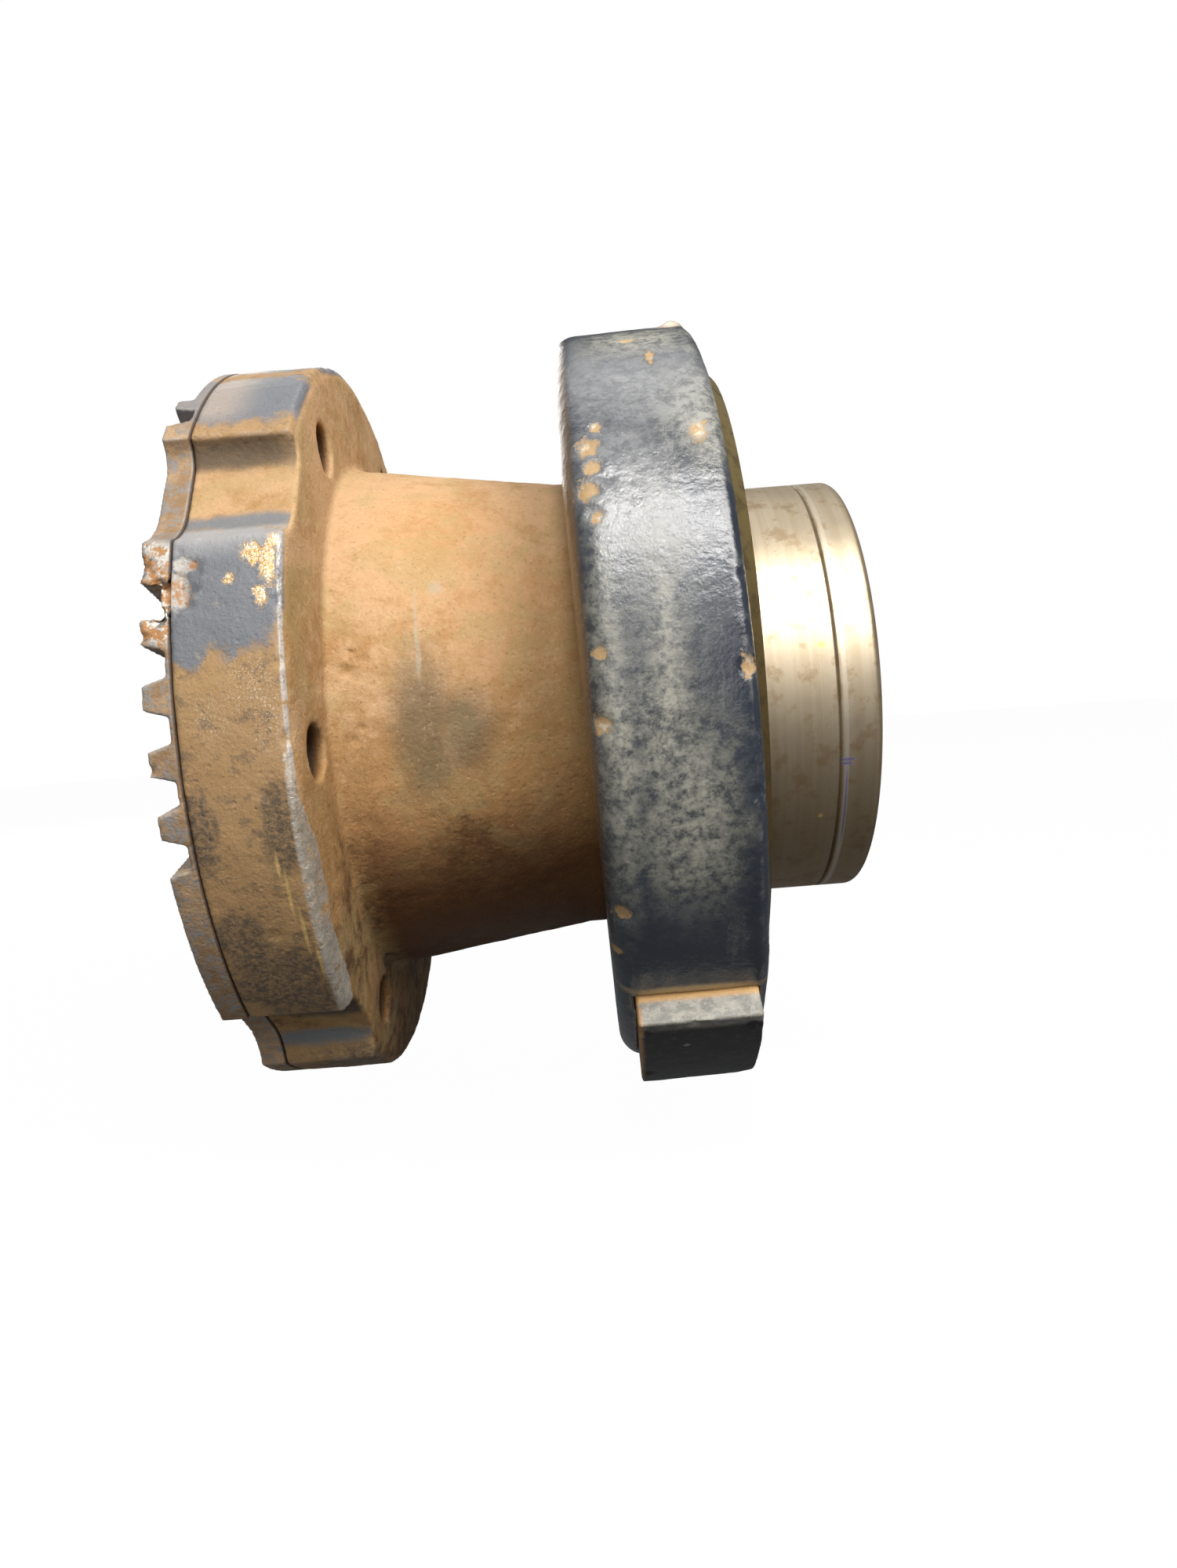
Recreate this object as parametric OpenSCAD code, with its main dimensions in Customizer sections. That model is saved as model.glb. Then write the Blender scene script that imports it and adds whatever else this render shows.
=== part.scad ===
// Ring-operated three-jaw lathe chuck: a cast body with a toothed spindle flange, a loose
// operating ring with a strike lug, a cover plate and a polished nose.
// The spindle axis is X. The origin is the centre of the dog ring's tooth-root plane, and
// +X points to the nose. Angles are counted about the axis from -Y towards -Z.

/* [Flange] */
// Outside diameter of the flange and of its dog ring
flange_d = 169.4; // [166:0.2:210]
// Width of the flange rim, from the tooth roots
rim_w = 21.5; // [20:0.5:32]
// How far the crowned face stands beyond the rim
crown_h = 1; // [0.5:0.1:9]
// Diameter of the flat top of the crowned face
crown_top_d = 126; // [126:0.2:140]
// Outward swell of the crowned face
crown_swell = 0.2; // [0:0.1:1.5]
// Bolt circle of the spindle bolts
bolt_pcd = 142; // [138:0.5:143]
// Diameter of the spindle bolt holes
bolt_hole_d = 11; // [9:0.5:12]
// Angle of the first spindle bolt hole
bolt_angle = 4; // [0:1:6]
// Depth of the four rim scallops
scallop_depth = 5.4; // [3:0.2:6]
// Width of a scallop at the rim
scallop_w = 26.4; // [20:0.2:30]
// Angle of the first scallop of each pair
scallop_a = -34; // [-36:1:-32]
// Angle of the second scallop of each pair
scallop_b = 52; // [50:1:54]

/* [Dog ring] */
// Height of the dog teeth
tooth_h = 4.4; // [3:0.2:6]
// Radial length of a dog tooth
tooth_len = 11.2; // [8:0.2:13]
// Number of tooth pitches that a full ring would have
tooth_pitches = 45; // [42:1:48]
// Width of a tooth gap at its root
gap_root_w = 4.7; // [3.5:0.1:5.5]
// Width of a tooth gap at its mouth
gap_mouth_w = 7.3; // [6:0.1:8.5]
// Radial width of the thin lip outside the dog ring's core
dog_lip_w = 6.7; // [5:0.1:8]
// Thickness of that lip
dog_lip_t = 1; // [0.8:0.1:2]
// Depth that the dog ring's core sits in the flange
dog_core_t = 9; // [8:0.5:12]
// Inside diameter of the dog ring
dog_bore_d = 120; // [112:1:122]
// Bolt circle of the dog ring's own screws
dog_screw_pcd = 136; // [132:1:140]

/* [Body] */
// Diameter of the neck where it leaves the flange
neck_big_d = 122.4; // [112:0.2:123]
// Diameter of the neck's front end
neck_small_d = 109; // [106:0.2:111]
// Length of the tapered neck
neck_len = 47.7; // [30:0.1:60]
// Length of the plain end of the neck, inside the ring
neck_land = 4.8; // [4:0.2:8]
// Fillet between neck and flange
neck_fillet = 1.2; // [1:0.1:6]
// Diameter of the hub that the operating ring turns on
hub_d = 99; // [96:1:102]
// Diameter of the front spigot that carries cover and nose
spigot_d = 84; // [84:0.5:86]
// Through bore for the work
bore_d = 68; // [56:0.5:68]
// Register bore that fits the spindle
register_d = 84; // [76:1:96]
// Depth of the register bore
register_h = 12; // [8:1:16]

/* [Operating ring] */
// Outside diameter of the operating ring
ring_d = 174; // [172:0.5:210]
// Width of the operating ring
ring_w = 30.9; // [30:0.1:34]
// Lean of the ring casting against its own bore, in degrees
ring_lean = 1.4; // [0:0.1:2]
// Radius of the ring's rear corner
ring_corner = 6; // [2:0.5:8]
// Chamfer on the ring's front corner
ring_bevel = 1.6; // [0.5:0.1:2]
// Diameter of the pocket in the ring's front
pocket_d = 158.4; // [158:0.2:160]
// Thickness of the ring's web at the hub
web_t = 5; // [5:0.2:7]
// Angle the ring turns from open to closed
ring_travel = 50; // [40:1:52]
// Height of the strike lug above the rim
lug_h = 6.5; // [4:0.5:10]
// Angle where the strike lug starts
lug_start = 42.4; // [30:0.2:50]
// Angle that the strike lug spans
lug_span = 22.6; // [16:0.2:30]
// How deep the lug is let into the rim
lug_key = 3; // [2:0.1:3.5]
// Distance from the ring's rear face to the lug
lug_rear_gap = 4; // [3:0.1:6]
// Distance from the ring's front face to the lug
lug_front_gap = 2.1; // [1.8:0.1:4]

/* [Cam and jaws] */
// Thickness of the cam plate
cam_t = 5; // [4:0.2:7]
// Jaw travel from open to closed
jaw_travel = 10; // [6:0.5:11]
// Width of a jaw
jaw_w = 22; // [16:1:24]
// Thickness of a jaw along the axis
jaw_t = 13.7; // [12:0.1:18]
// Angle of the first jaw
jaw_angle = -90; // [-120:5:-60]
// Diameter of the drive pins
pin_d = 8; // [6:0.5:9]
// Distance of an open jaw's drive pin from the axis
pin_open_r = 69; // [68.5:0.1:69.5]
// Thickness of the hardened grip pads at the middle
pad_t = 6; // [5:0.5:7]

/* [Cover and nose] */
// Outside diameter of the cover plate
cover_d = 157.4; // [157:0.2:158]
// Thickness of the cover plate
cover_t = 6.4; // [5:0.2:9]
// Bevel on the cover plate's front corner
cover_bevel = 2.8; // [0.5:0.1:3.5]
// Wall of the cover plate's rear skirt
skirt_t = 4.4; // [3.5:0.1:4.4]
// Thickness of the two bronze thrust rings
thrust_t = 2; // [1.5:0.1:3]
// Diameter of the polished nose
nose_d = 100; // [96:0.5:104]
// Length of the nose sleeve
sleeve_len = 19.1; // [14:0.5:30]
// Length of the nose cap
cap_len = 9.4; // [8:0.1:12]
// Corner radius of the nose cap
cap_corner = 2; // [0.5:0.1:3]

/* [Clearances] */
// Radial clearance of the ring on the hub
run_gap = 0.05; // [0.02:0.01:0.1]
// Clearance beside and behind sliding jaws
slide_gap = 0.05; // [0.03:0.01:0.1]
// Clearance between faces that turn on each other
face_gap = 0.1; // [0.05:0.01:0.2]
// Clearance between fixed pieces that fit together
seat_gap = 0.03; // [0.02:0.01:0.05]
// Clearance of a drive pin in its cam slot
cam_gap = 0.25; // [0.15:0.01:0.4]
// Gap round a curved end that must never touch
free_gap = 0.3; // [0.25:0.05:0.5]

/* [Hidden] */
$fn = 96;
through = 1;                 // how far a cut runs past the face it opens
weld = 0.001;                // how far two cuts that follow each other overlap

// Radii
flange_r = flange_d / 2;
core_r = flange_r - dog_lip_w;
tooth_in_r = flange_r - tooth_len;
hub_r = hub_d / 2;
spigot_r = spigot_d / 2;
bore_r = bore_d / 2;
ring_r = ring_d / 2;
pocket_r = pocket_d / 2;
cover_r = cover_d / 2;
skirt_in_r = cover_r - skirt_t;
nose_r = nose_d / 2;
pin_r = pin_d / 2;

// Stations along the axis, from the flange to the nose
crown_x = rim_w + crown_h;
neck_end_x = crown_x + neck_len;
shoulder_x = neck_end_x + neck_land;
web_x = shoulder_x + thrust_t + face_gap;
cam_x = web_x + web_t;
cam_front_x = cam_x + cam_t;
jaw_slot_x = cam_front_x + face_gap;
jaw_x = jaw_slot_x + slide_gap;
hub_front_x = jaw_x + jaw_t + slide_gap;
cover_front_x = hub_front_x + cover_t;
sleeve_front_x = cover_front_x + sleeve_len;
nose_front_x = sleeve_front_x + cap_len;
cap_lip_t = 5.2;
spigot_front_x = nose_front_x - cap_lip_t - face_gap;
front_thrust_x = cam_front_x + face_gap;
skirt_x = front_thrust_x + thrust_t;

// The ring stands with its rear face just behind the hub's shoulder
ring_rear_set = 1.4;
peen_r = 3;
peen_a = -72;
peen_set = 0.2;
peen_sink = 1.9;
ring_mid_x = shoulder_x - ring_rear_set + ring_w / 2;

// Screws: shank radius, head radius and head height
m4 = [2, 3.8, 2];
m5 = [2.5, 4.6, 2.4];
m6 = [3, 5, 6];
bolts = 6;
bolt_step = 360 / bolts;
dog_screw_len = 17;
dog_head_sink = 0.6;
dowel_r = 3;
dowel_len = 16;
dowel_angles = [18, 198];
csk_sink = 0.3;
socket_depth = 0.55;                   // hex socket: shares of the head's height and the shank's radius
socket_width = 0.95;
cover_screw_len = 16;
cam_screw_len = 8.6;
cam_screw_r = 64.5;
cam_screw_angles = [72, 100];
cap_screw_len = 14;
cap_screws = 6;
lug_corner_cut = 2.4;                  // how far the lug's front far corner is cut back
lug_screw_len = 11;
lug_screw_angles = [0.28, 0.72];       // shares of the lug's span
pad_screw_len = 12;
pad_screw_sink = 1.6;

// Dog teeth: five gaps on each long block, one at the end of each short block, and blank
// lands and a relieved stretch between them
tooth_step = 360 / tooth_pitches;
last_gap = 15.1;
long_block_gaps = 5;
short_block_gap = last_gap + 180 - 8 * tooth_step;
relief_from = scallop_b + 48;
relief_to = scallop_b + 74;
relief_land = 1.4;                     // height left under the relieved stretch
scallop_fillets = [5.6, 16];           // at the steep end and at the soft end of a scallop
rim_edge = [1.2, 2];                   // wear chamfer of the rim: along the axis, radial

// Jaws
jaws = 3;
jaw_step = 360 / jaws;
jaw_out_r = skirt_in_r - free_gap;
pin_sink = 7.7;
slot_step = 5;
serrations = 5;
serration_step = 3.6;
serration_h = 0.7;

// Nose details
groove_w = 0.8;
groove_h = 0.35;
collar_w = 1.8;
seam_bevel = 0.5;
bore_bevel = 0.3;

// Seal groove in the cover's skirt
seal_w = 3;
seal_h = 1.5;
seal_x = skirt_x + 5;

// Points of an arc about c, and a gentle swell between two points
function arc(c, r, a0, a1, n = 8) =
    [for (i = [0:n]) c + r * [cos(a0 + (a1 - a0) * i / n), sin(a0 + (a1 - a0) * i / n)]];
function swell(p, q, rise, n = 8) =
    [for (i = [1:n - 1]) let (t = i / n, d = q - p, v = [-d[1], d[0]] / norm(d))
        p + d * t - v * rise * 4 * t * (1 - t)];
function polar(r, a) = [r * sin(a), -r * cos(a)];
function jaw_at(i) = jaw_angle + (i - 1) * jaw_step;

// Axis helpers: turned() spins a [radius, x] outline about X; at() turns a child that was
// drawn on the -Y side to an angle; tube() is a plain ring between two stations
module turned(outline) rotate([0, 90, 0]) rotate_extrude() polygon(outline);
module at(a) rotate([a, 0, 0]) children();
module rod(x0, x1, r) translate([x0, 0, 0]) rotate([0, 90, 0]) cylinder(h = x1 - x0, r = r);
module tube(x0, x1, ro, ri) difference() {
    rod(x0, x1, ro);
    rod(x0 - through, x1 + through, ri);
}
module off_axis(r, a) at(a) translate([0, -r, 0]) children();
module facing_rear(x) translate([x, 0, 0]) rotate([0, 90, 0]) children();
module facing_front(x) translate([x, 0, 0]) rotate([0, -90, 0]) children();
module facing_inward(x, r) translate([x, -r, 0]) rotate([90, 0, 0]) children();

// Screws stand on Z with the top of the head at zero, and run up +Z
module hex_socket(s) translate([0, 0, -through])
    cylinder(h = through + s[2] * socket_depth, r = s[0] * socket_width, $fn = 6);
module cap_screw(s, len) difference() {
    union() {
        cylinder(h = s[2], r = s[1], $fn = 48);
        cylinder(h = len, r = s[0], $fn = 32);
    }
    hex_socket(s);
}
module csk_screw(s, len) difference() {
    union() {
        cylinder(h = s[2], r1 = s[1], r2 = s[0], $fn = 48);
        cylinder(h = len, r = s[0], $fn = 32);
    }
    hex_socket(s);
}
module csk_hole(s, len, sink) {
    translate([0, 0, -sink]) cylinder(h = sink + weld, r = s[1] + seat_gap, $fn = 48);
    cylinder(h = s[2], r1 = s[1] + seat_gap, r2 = s[0] + seat_gap, $fn = 48);
    translate([0, 0, -through]) cylinder(h = len + through + face_gap, r = s[0] + seat_gap, $fn = 32);
}

// Scallops: slots along the axis, steep at their first end and soft at their last
function fillet_run(f) =
    let (d = scallop_depth - flange_r + sqrt(flange_r * flange_r - scallop_w * scallop_w / 4))
    sqrt(2 * f * d - d * d);
module scallop(a) {
    floor_r = flange_r - scallop_depth;
    steep = scallop_w / 2 - fillet_run(scallop_fillets[0]);
    soft = fillet_run(scallop_fillets[1]) - scallop_w / 2;
    at(a) {
        translate([0, -floor_r - scallop_fillets[0], steep])
            rod(-tooth_h - through, crown_x + through, scallop_fillets[0]);
        translate([0, -floor_r - scallop_fillets[1], soft])
            rod(-tooth_h - through, crown_x + through, scallop_fillets[1]);
        translate([-tooth_h - through, -floor_r - 2 * scallop_fillets[0], soft])
            cube([crown_x + tooth_h + 2 * through, 2 * scallop_fillets[0], steep - soft]);
    }
}
module scallops() for (turn = [0, 180], a = [scallop_a, scallop_b]) scallop(a + turn);
module bolt_holes(x0, x1) for (i = [0:bolts - 1])
    off_axis(bolt_pcd / 2, bolt_angle + i * bolt_step) rod(x0, x1, bolt_hole_d / 2);
module at_dog_screws() for (i = [0:bolts - 1])
    off_axis(dog_screw_pcd / 2, bolt_angle + (i + 0.5) * bolt_step) children();
module at_cover_screws() for (i = [1:jaws], side = [-1, 1])
    off_axis((spigot_r + hub_r) / 2, jaw_at(i) + jaw_step / 2 + side * jaw_step / 6) children();
module at_cap_screws() for (i = [0:cap_screws - 1])
    off_axis((spigot_r + bore_r) / 2 + 2 * csk_sink, jaw_angle + (i + 0.5) * 360 / cap_screws) children();

body_outline = concat(
    [[register_d / 2, 0], [dog_bore_d / 2, 0], [dog_bore_d / 2, dog_core_t], [core_r, dog_core_t],
     [core_r, dog_lip_t], [flange_r, dog_lip_t], [flange_r, rim_w - rim_edge[0]],
     [flange_r - rim_edge[1], rim_w]],
    swell([flange_r - rim_edge[1], rim_w], [crown_top_d / 2, crown_x], crown_swell),
    [[crown_top_d / 2, crown_x]],
    arc([neck_big_d / 2 + neck_fillet, crown_x + neck_fillet], neck_fillet, 270, 180),
    [[neck_small_d / 2, neck_end_x], [neck_small_d / 2, shoulder_x], [hub_r, shoulder_x],
     [hub_r, hub_front_x], [spigot_r, hub_front_x], [spigot_r, spigot_front_x],
     [bore_r, spigot_front_x], [bore_r, register_h], [register_d / 2, register_h]]);

module jaw_windows() for (i = [1:jaws]) at(jaw_at(i))
    translate([jaw_slot_x, -hub_r - through, -jaw_w / 2 - slide_gap])
        cube([hub_front_x - jaw_slot_x, hub_r + through - bore_r / 2, jaw_w + 2 * slide_gap]);

module body() color("peru") difference() {
    turned(body_outline);
    scallops();
    bolt_holes(-through, crown_x + through);
    at_dog_screws() rod(0, dog_head_sink + dog_screw_len + face_gap, m6[0] + seat_gap);
    for (a = dowel_angles) off_axis(dog_screw_pcd / 2, a) rod(0, dowel_len + face_gap, dowel_r + seat_gap);
    jaw_windows();
    at_cover_screws() facing_front(cover_front_x - csk_sink) csk_hole(m4, cover_screw_len, csk_sink);
    at_cap_screws() facing_front(nose_front_x - csk_sink) csk_hole(m4, cap_screw_len, csk_sink);
}

// Dog ring: a stepped ring whose face teeth are cut by tapered gaps
module gap_cut(a) {
    flare = (gap_mouth_w - gap_root_w) / tooth_h;
    above_w = gap_mouth_w + flare * through;
    off_axis(tooth_in_r - through, a) rotate([90, 0, 0]) linear_extrude(height = tooth_len + 2 * through)
        polygon([[0, -gap_root_w / 2], [-tooth_h - through, -above_w / 2],
                 [-tooth_h - through, above_w / 2], [0, gap_root_w / 2]]);
}
module relief_cut() translate([-tooth_h - through, 0, 0]) rotate([0, 90, 0])
    linear_extrude(height = tooth_h + through - relief_land)
        polygon([polar(tooth_in_r - through, relief_from), polar(2 * flange_r, relief_from),
                 polar(2 * flange_r, relief_to), polar(tooth_in_r - through, relief_to)]);
module dog_ring() color("dimgray") difference() {
    turned([[dog_bore_d / 2 + seat_gap, 0], [tooth_in_r, 0], [tooth_in_r, -tooth_h],
            [flange_r, -tooth_h], [flange_r, dog_lip_t - seat_gap],
            [core_r - seat_gap, dog_lip_t - seat_gap],
            [core_r - seat_gap, dog_core_t], [dog_bore_d / 2 + seat_gap, dog_core_t]]);
    for (turn = [0, 180]) {
        for (k = [0:long_block_gaps - 1]) gap_cut(turn + last_gap - k * tooth_step);
        gap_cut(turn + short_block_gap);
        at(turn) relief_cut();
    }
    scallops();
    bolt_holes(-tooth_h - through, dog_core_t + through);
    at_dog_screws() {
        rod(-through, dog_head_sink + m6[2], m6[1] + 2 * seat_gap);
        rod(0, dog_core_t + through, m6[0] + seat_gap);
    }
    for (a = dowel_angles) off_axis(dog_screw_pcd / 2, a)
        rod(-through, dog_core_t + through, dowel_r + seat_gap);
}
module dog_ring_screws() color("silver")
    at_dog_screws() facing_rear(dog_head_sink) cap_screw(m6, dog_screw_len);
module dog_ring_dowels() color("silver") for (a = dowel_angles)
    off_axis(dog_screw_pcd / 2, a) rod(dog_head_sink, dowel_len, dowel_r);

// Operating ring: the casting leans, its bore and pocket run true
module leaned() translate([ring_mid_x, 0, 0]) rotate([0, -ring_lean, 0]) children();
module ring_casting() leaned() turned(concat(
    [[0, -ring_w / 2]],
    arc([ring_r - ring_corner, ring_corner - ring_w / 2], ring_corner, -90, 0),
    [[ring_r, ring_w / 2 - ring_bevel], [ring_r - ring_bevel, ring_w / 2], [0, ring_w / 2]]));
// Peened corner of the ring, where blows have raised a small knob
module peened_knob() leaned() at(peen_a) translate([ring_w / 2 - peen_r - peen_set, -ring_r + peen_sink, 0])
    sphere(r = peen_r, $fn = 48);
module lug_block(gap) leaned() difference() {
    intersection() {
        tube(lug_rear_gap - ring_w / 2 - gap, ring_w / 2 - lug_front_gap + gap,
             ring_r + lug_h, ring_r - lug_key - gap);
        at(lug_start) lug_wedge(gap);
    }
    at(lug_start + lug_span) translate([ring_w / 2 - lug_front_gap + gap, -ring_r, 0]) rotate([0, 45, 0])
        translate([-lug_corner_cut, -lug_h - through, -2 * lug_corner_cut])
            cube([2 * lug_corner_cut, 2 * (lug_h + through), 4 * lug_corner_cut]);
}
// Wedge between the lug's two end faces
module lug_wedge(gap) {
    far = ring_r + lug_h + through;
    side = far * tan(lug_span);
    translate([-ring_w, 0, 0]) rotate([0, 90, 0]) linear_extrude(height = 2 * ring_w)
        polygon([[-gap, 0], [-gap, -far], [side + gap, -far], [gap, 0]]);
}
module at_lug_screws() for (s = lug_screw_angles)
    at(lug_start + s * lug_span) facing_inward(ring_mid_x, pocket_r + 2 * csk_sink) children();
module operating_ring() color("#23282f") difference() {
    union() {
        ring_casting();
        peened_knob();
    }
    lug_block(seat_gap);
    rod(ring_mid_x - ring_w, web_x, neck_small_d / 2 + free_gap + run_gap);
    rod(ring_mid_x - ring_w, cam_x + through, hub_r + run_gap);
    rod(cam_x, ring_mid_x + ring_w, pocket_r);
    at_lug_screws() csk_hole(m5, lug_screw_len, 4 * csk_sink);
    at_cam_screws() facing_front(cam_front_x - csk_sink) csk_hole(m5, cam_screw_len, csk_sink);
}
module strike_lug() color("#3a4048") difference() {
    lug_block(0);
    at_lug_screws() csk_hole(m5, lug_screw_len, csk_sink);
}
module strike_lug_screws() color("silver") at_lug_screws() csk_screw(m5, lug_screw_len);

// Cam plate: three spiral slots that pull the drive pins inward as the ring turns
function cam_r(t) = pin_open_r - jaw_travel * t / ring_travel;
module cam_slot() {
    half = pin_r + cam_gap;
    steps = [0:slot_step:ring_travel];
    linear_extrude(height = cam_t + 2 * through) {
        polygon(concat([for (t = steps) polar(cam_r(t) + half, t)],
                       [for (t = steps) polar(cam_r(ring_travel - t) - half, ring_travel - t)]));
        for (t = [0, ring_travel]) translate(polar(cam_r(t), t)) circle(r = half);
    }
}
module at_cam_screws() for (i = [1:jaws], a = cam_screw_angles)
    off_axis(cam_screw_r, jaw_at(i) + a) children();
module cam_plate() color("slategray") difference() {
    tube(cam_x, cam_front_x, pocket_r - face_gap, hub_r + free_gap + run_gap);
    for (i = [1:jaws]) at(jaw_at(i)) translate([cam_x - through, 0, 0]) rotate([0, 90, 0]) cam_slot();
    at_cam_screws() facing_front(cam_front_x - csk_sink) csk_hole(m5, cam_screw_len, csk_sink);
}
module cam_plate_screws() color("silver")
    at_cam_screws() facing_front(cam_front_x - csk_sink) csk_screw(m5, cam_screw_len);

module rear_thrust_washer() color("goldenrod")
    tube(shoulder_x, shoulder_x + thrust_t, neck_small_d / 2 - free_gap, hub_r + seat_gap);
module front_thrust_ring() color("goldenrod") tube(front_thrust_x, skirt_x, cover_r, skirt_in_r);

// Cover plate: a disc with a rear skirt that encloses the jaws
module cover_plate() color("#8a7440") difference() {
    turned([[spigot_r + seat_gap, hub_front_x], [skirt_in_r, hub_front_x], [skirt_in_r, skirt_x],
            [cover_r, skirt_x], [cover_r, seal_x], [cover_r - seal_h, seal_x],
            [cover_r - seal_h, seal_x + seal_w], [cover_r, seal_x + seal_w],
            [cover_r, cover_front_x - cover_bevel], [cover_r - cover_bevel, cover_front_x],
            [spigot_r + seat_gap, cover_front_x]]);
    at_cover_screws() facing_front(cover_front_x - csk_sink) csk_hole(m4, cover_screw_len, csk_sink);
}
module cover_plate_screws() color("silver")
    at_cover_screws() facing_front(cover_front_x - csk_sink) csk_screw(m4, cover_screw_len);
module dust_seal() color("#2a2018") tube(seal_x + seat_gap, seal_x + seal_w - seat_gap,
                                       pocket_r - face_gap, cover_r - seal_h + seat_gap);

// Nose: a ground sleeve with a narrow groove beside its collar, and a screwed cap
module nose_sleeve() color("silver") turned([
    [spigot_r + seat_gap, cover_front_x], [nose_r - seam_bevel, cover_front_x],
    [nose_r, cover_front_x + seam_bevel], [nose_r, cover_front_x + collar_w],
    [nose_r - groove_h, cover_front_x + collar_w], [nose_r - groove_h, cover_front_x + collar_w + groove_w],
    [nose_r, cover_front_x + collar_w + groove_w], [nose_r, sleeve_front_x - groove_h],
    [nose_r - groove_h, sleeve_front_x], [spigot_r + seat_gap, sleeve_front_x]]);
module nose_cap() color("silver") difference() {
    turned(concat(
        [[spigot_r + seat_gap, sleeve_front_x], [nose_r - seam_bevel, sleeve_front_x],
         [nose_r, sleeve_front_x + seam_bevel]],
        arc([nose_r - cap_corner, nose_front_x - cap_corner], cap_corner, 0, 90),
        [[bore_r + free_gap + bore_bevel, nose_front_x], [bore_r + free_gap, nose_front_x - bore_bevel],
         [bore_r + free_gap, nose_front_x - cap_lip_t], [spigot_r + seat_gap, nose_front_x - cap_lip_t]]));
    at_cap_screws() facing_front(nose_front_x - csk_sink) csk_hole(m4, cap_screw_len, csk_sink);
}
module nose_cap_screws() color("silver")
    at_cap_screws() facing_front(nose_front_x - csk_sink) csk_screw(m4, cap_screw_len);

// Jaws: a sliding bar with a hardened pad at its inner end and a drive pin at its outer end
module at_pad_screws() for (s = [-1, 1])
    translate([0, 0, s * jaw_w / 4]) facing_inward(jaw_x + jaw_t / 2, bore_r + pad_screw_sink) children();
module jaw(i) color("gray") at(jaw_at(i)) difference() {
    intersection() {
        translate([jaw_x, -jaw_out_r, -jaw_w / 2]) cube([jaw_t, jaw_out_r - bore_r - pad_t, jaw_w]);
        rod(jaw_x - through, jaw_x + jaw_t + through, jaw_out_r);
    }
    translate([0, -pin_open_r, 0]) rod(jaw_x - through, jaw_x + pin_sink + face_gap, pin_r + seat_gap);
    at_pad_screws() csk_hole(m4, pad_screw_len, csk_sink);
}
module jaw_pad(i) color("lightgray") at(jaw_at(i)) difference() {
    translate([jaw_x, -bore_r - pad_t, -jaw_w / 2]) cube([jaw_t, bore_r, jaw_w]);
    rod(jaw_x - through, jaw_x + jaw_t + through, bore_r);
    for (k = [0:serrations - 1])
        at((k - (serrations - 1) / 2) * serration_step / bore_r * 180 / PI)
            translate([jaw_x - through, -bore_r, 0]) rotate([45, 0, 0])
            translate([0, -serration_h / 2, -serration_h / 2])
                cube([jaw_t + 2 * through, serration_h, serration_h]);
    at_pad_screws() csk_hole(m4, pad_screw_len, pad_screw_sink + through);
}
module jaw_pad_screws(i) color("silver") at(jaw_at(i)) at_pad_screws() csk_screw(m4, pad_screw_len);
module drive_pin(i) color("lightsteelblue") off_axis(pin_open_r, jaw_at(i))
    rod(cam_x + face_gap, jaw_x + pin_sink, pin_r);

body();
dog_ring();
dog_ring_screws();
dog_ring_dowels();
operating_ring();
strike_lug();
strike_lug_screws();
cam_plate();
cam_plate_screws();
rear_thrust_washer();
front_thrust_ring();
cover_plate();
cover_plate_screws();
dust_seal();
nose_sleeve();
nose_cap();
nose_cap_screws();
jaw(1);  // jaw_1
jaw(2);  // jaw_2
jaw(3);  // jaw_3
jaw_pad(1);  // jaw_pad_1
jaw_pad(2);  // jaw_pad_2
jaw_pad(3);  // jaw_pad_3
jaw_pad_screws(1);  // jaw_pad_screws_1
jaw_pad_screws(2);  // jaw_pad_screws_2
jaw_pad_screws(3);  // jaw_pad_screws_3
drive_pin(1);  // drive_pin_1
drive_pin(2);  // drive_pin_2
drive_pin(3);  // drive_pin_3
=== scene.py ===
# %% [markdown]
# # A ring-operated lathe chuck
# This lesson dresses a worn lathe chuck: a rusty cast body with a toothed flange, a black
# enamelled operating ring with a strike lug, an oily cover plate and a polished steel nose.
# The exact model gives every size and every joint. Blender only adds what use has done to
# the metal: rust, oil, chipped paint, hammer marks and grinding lines.

# %% Load the exact model as a fixed frame
import math
import bpy
import numpy as np
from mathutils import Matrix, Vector, noise


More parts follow.
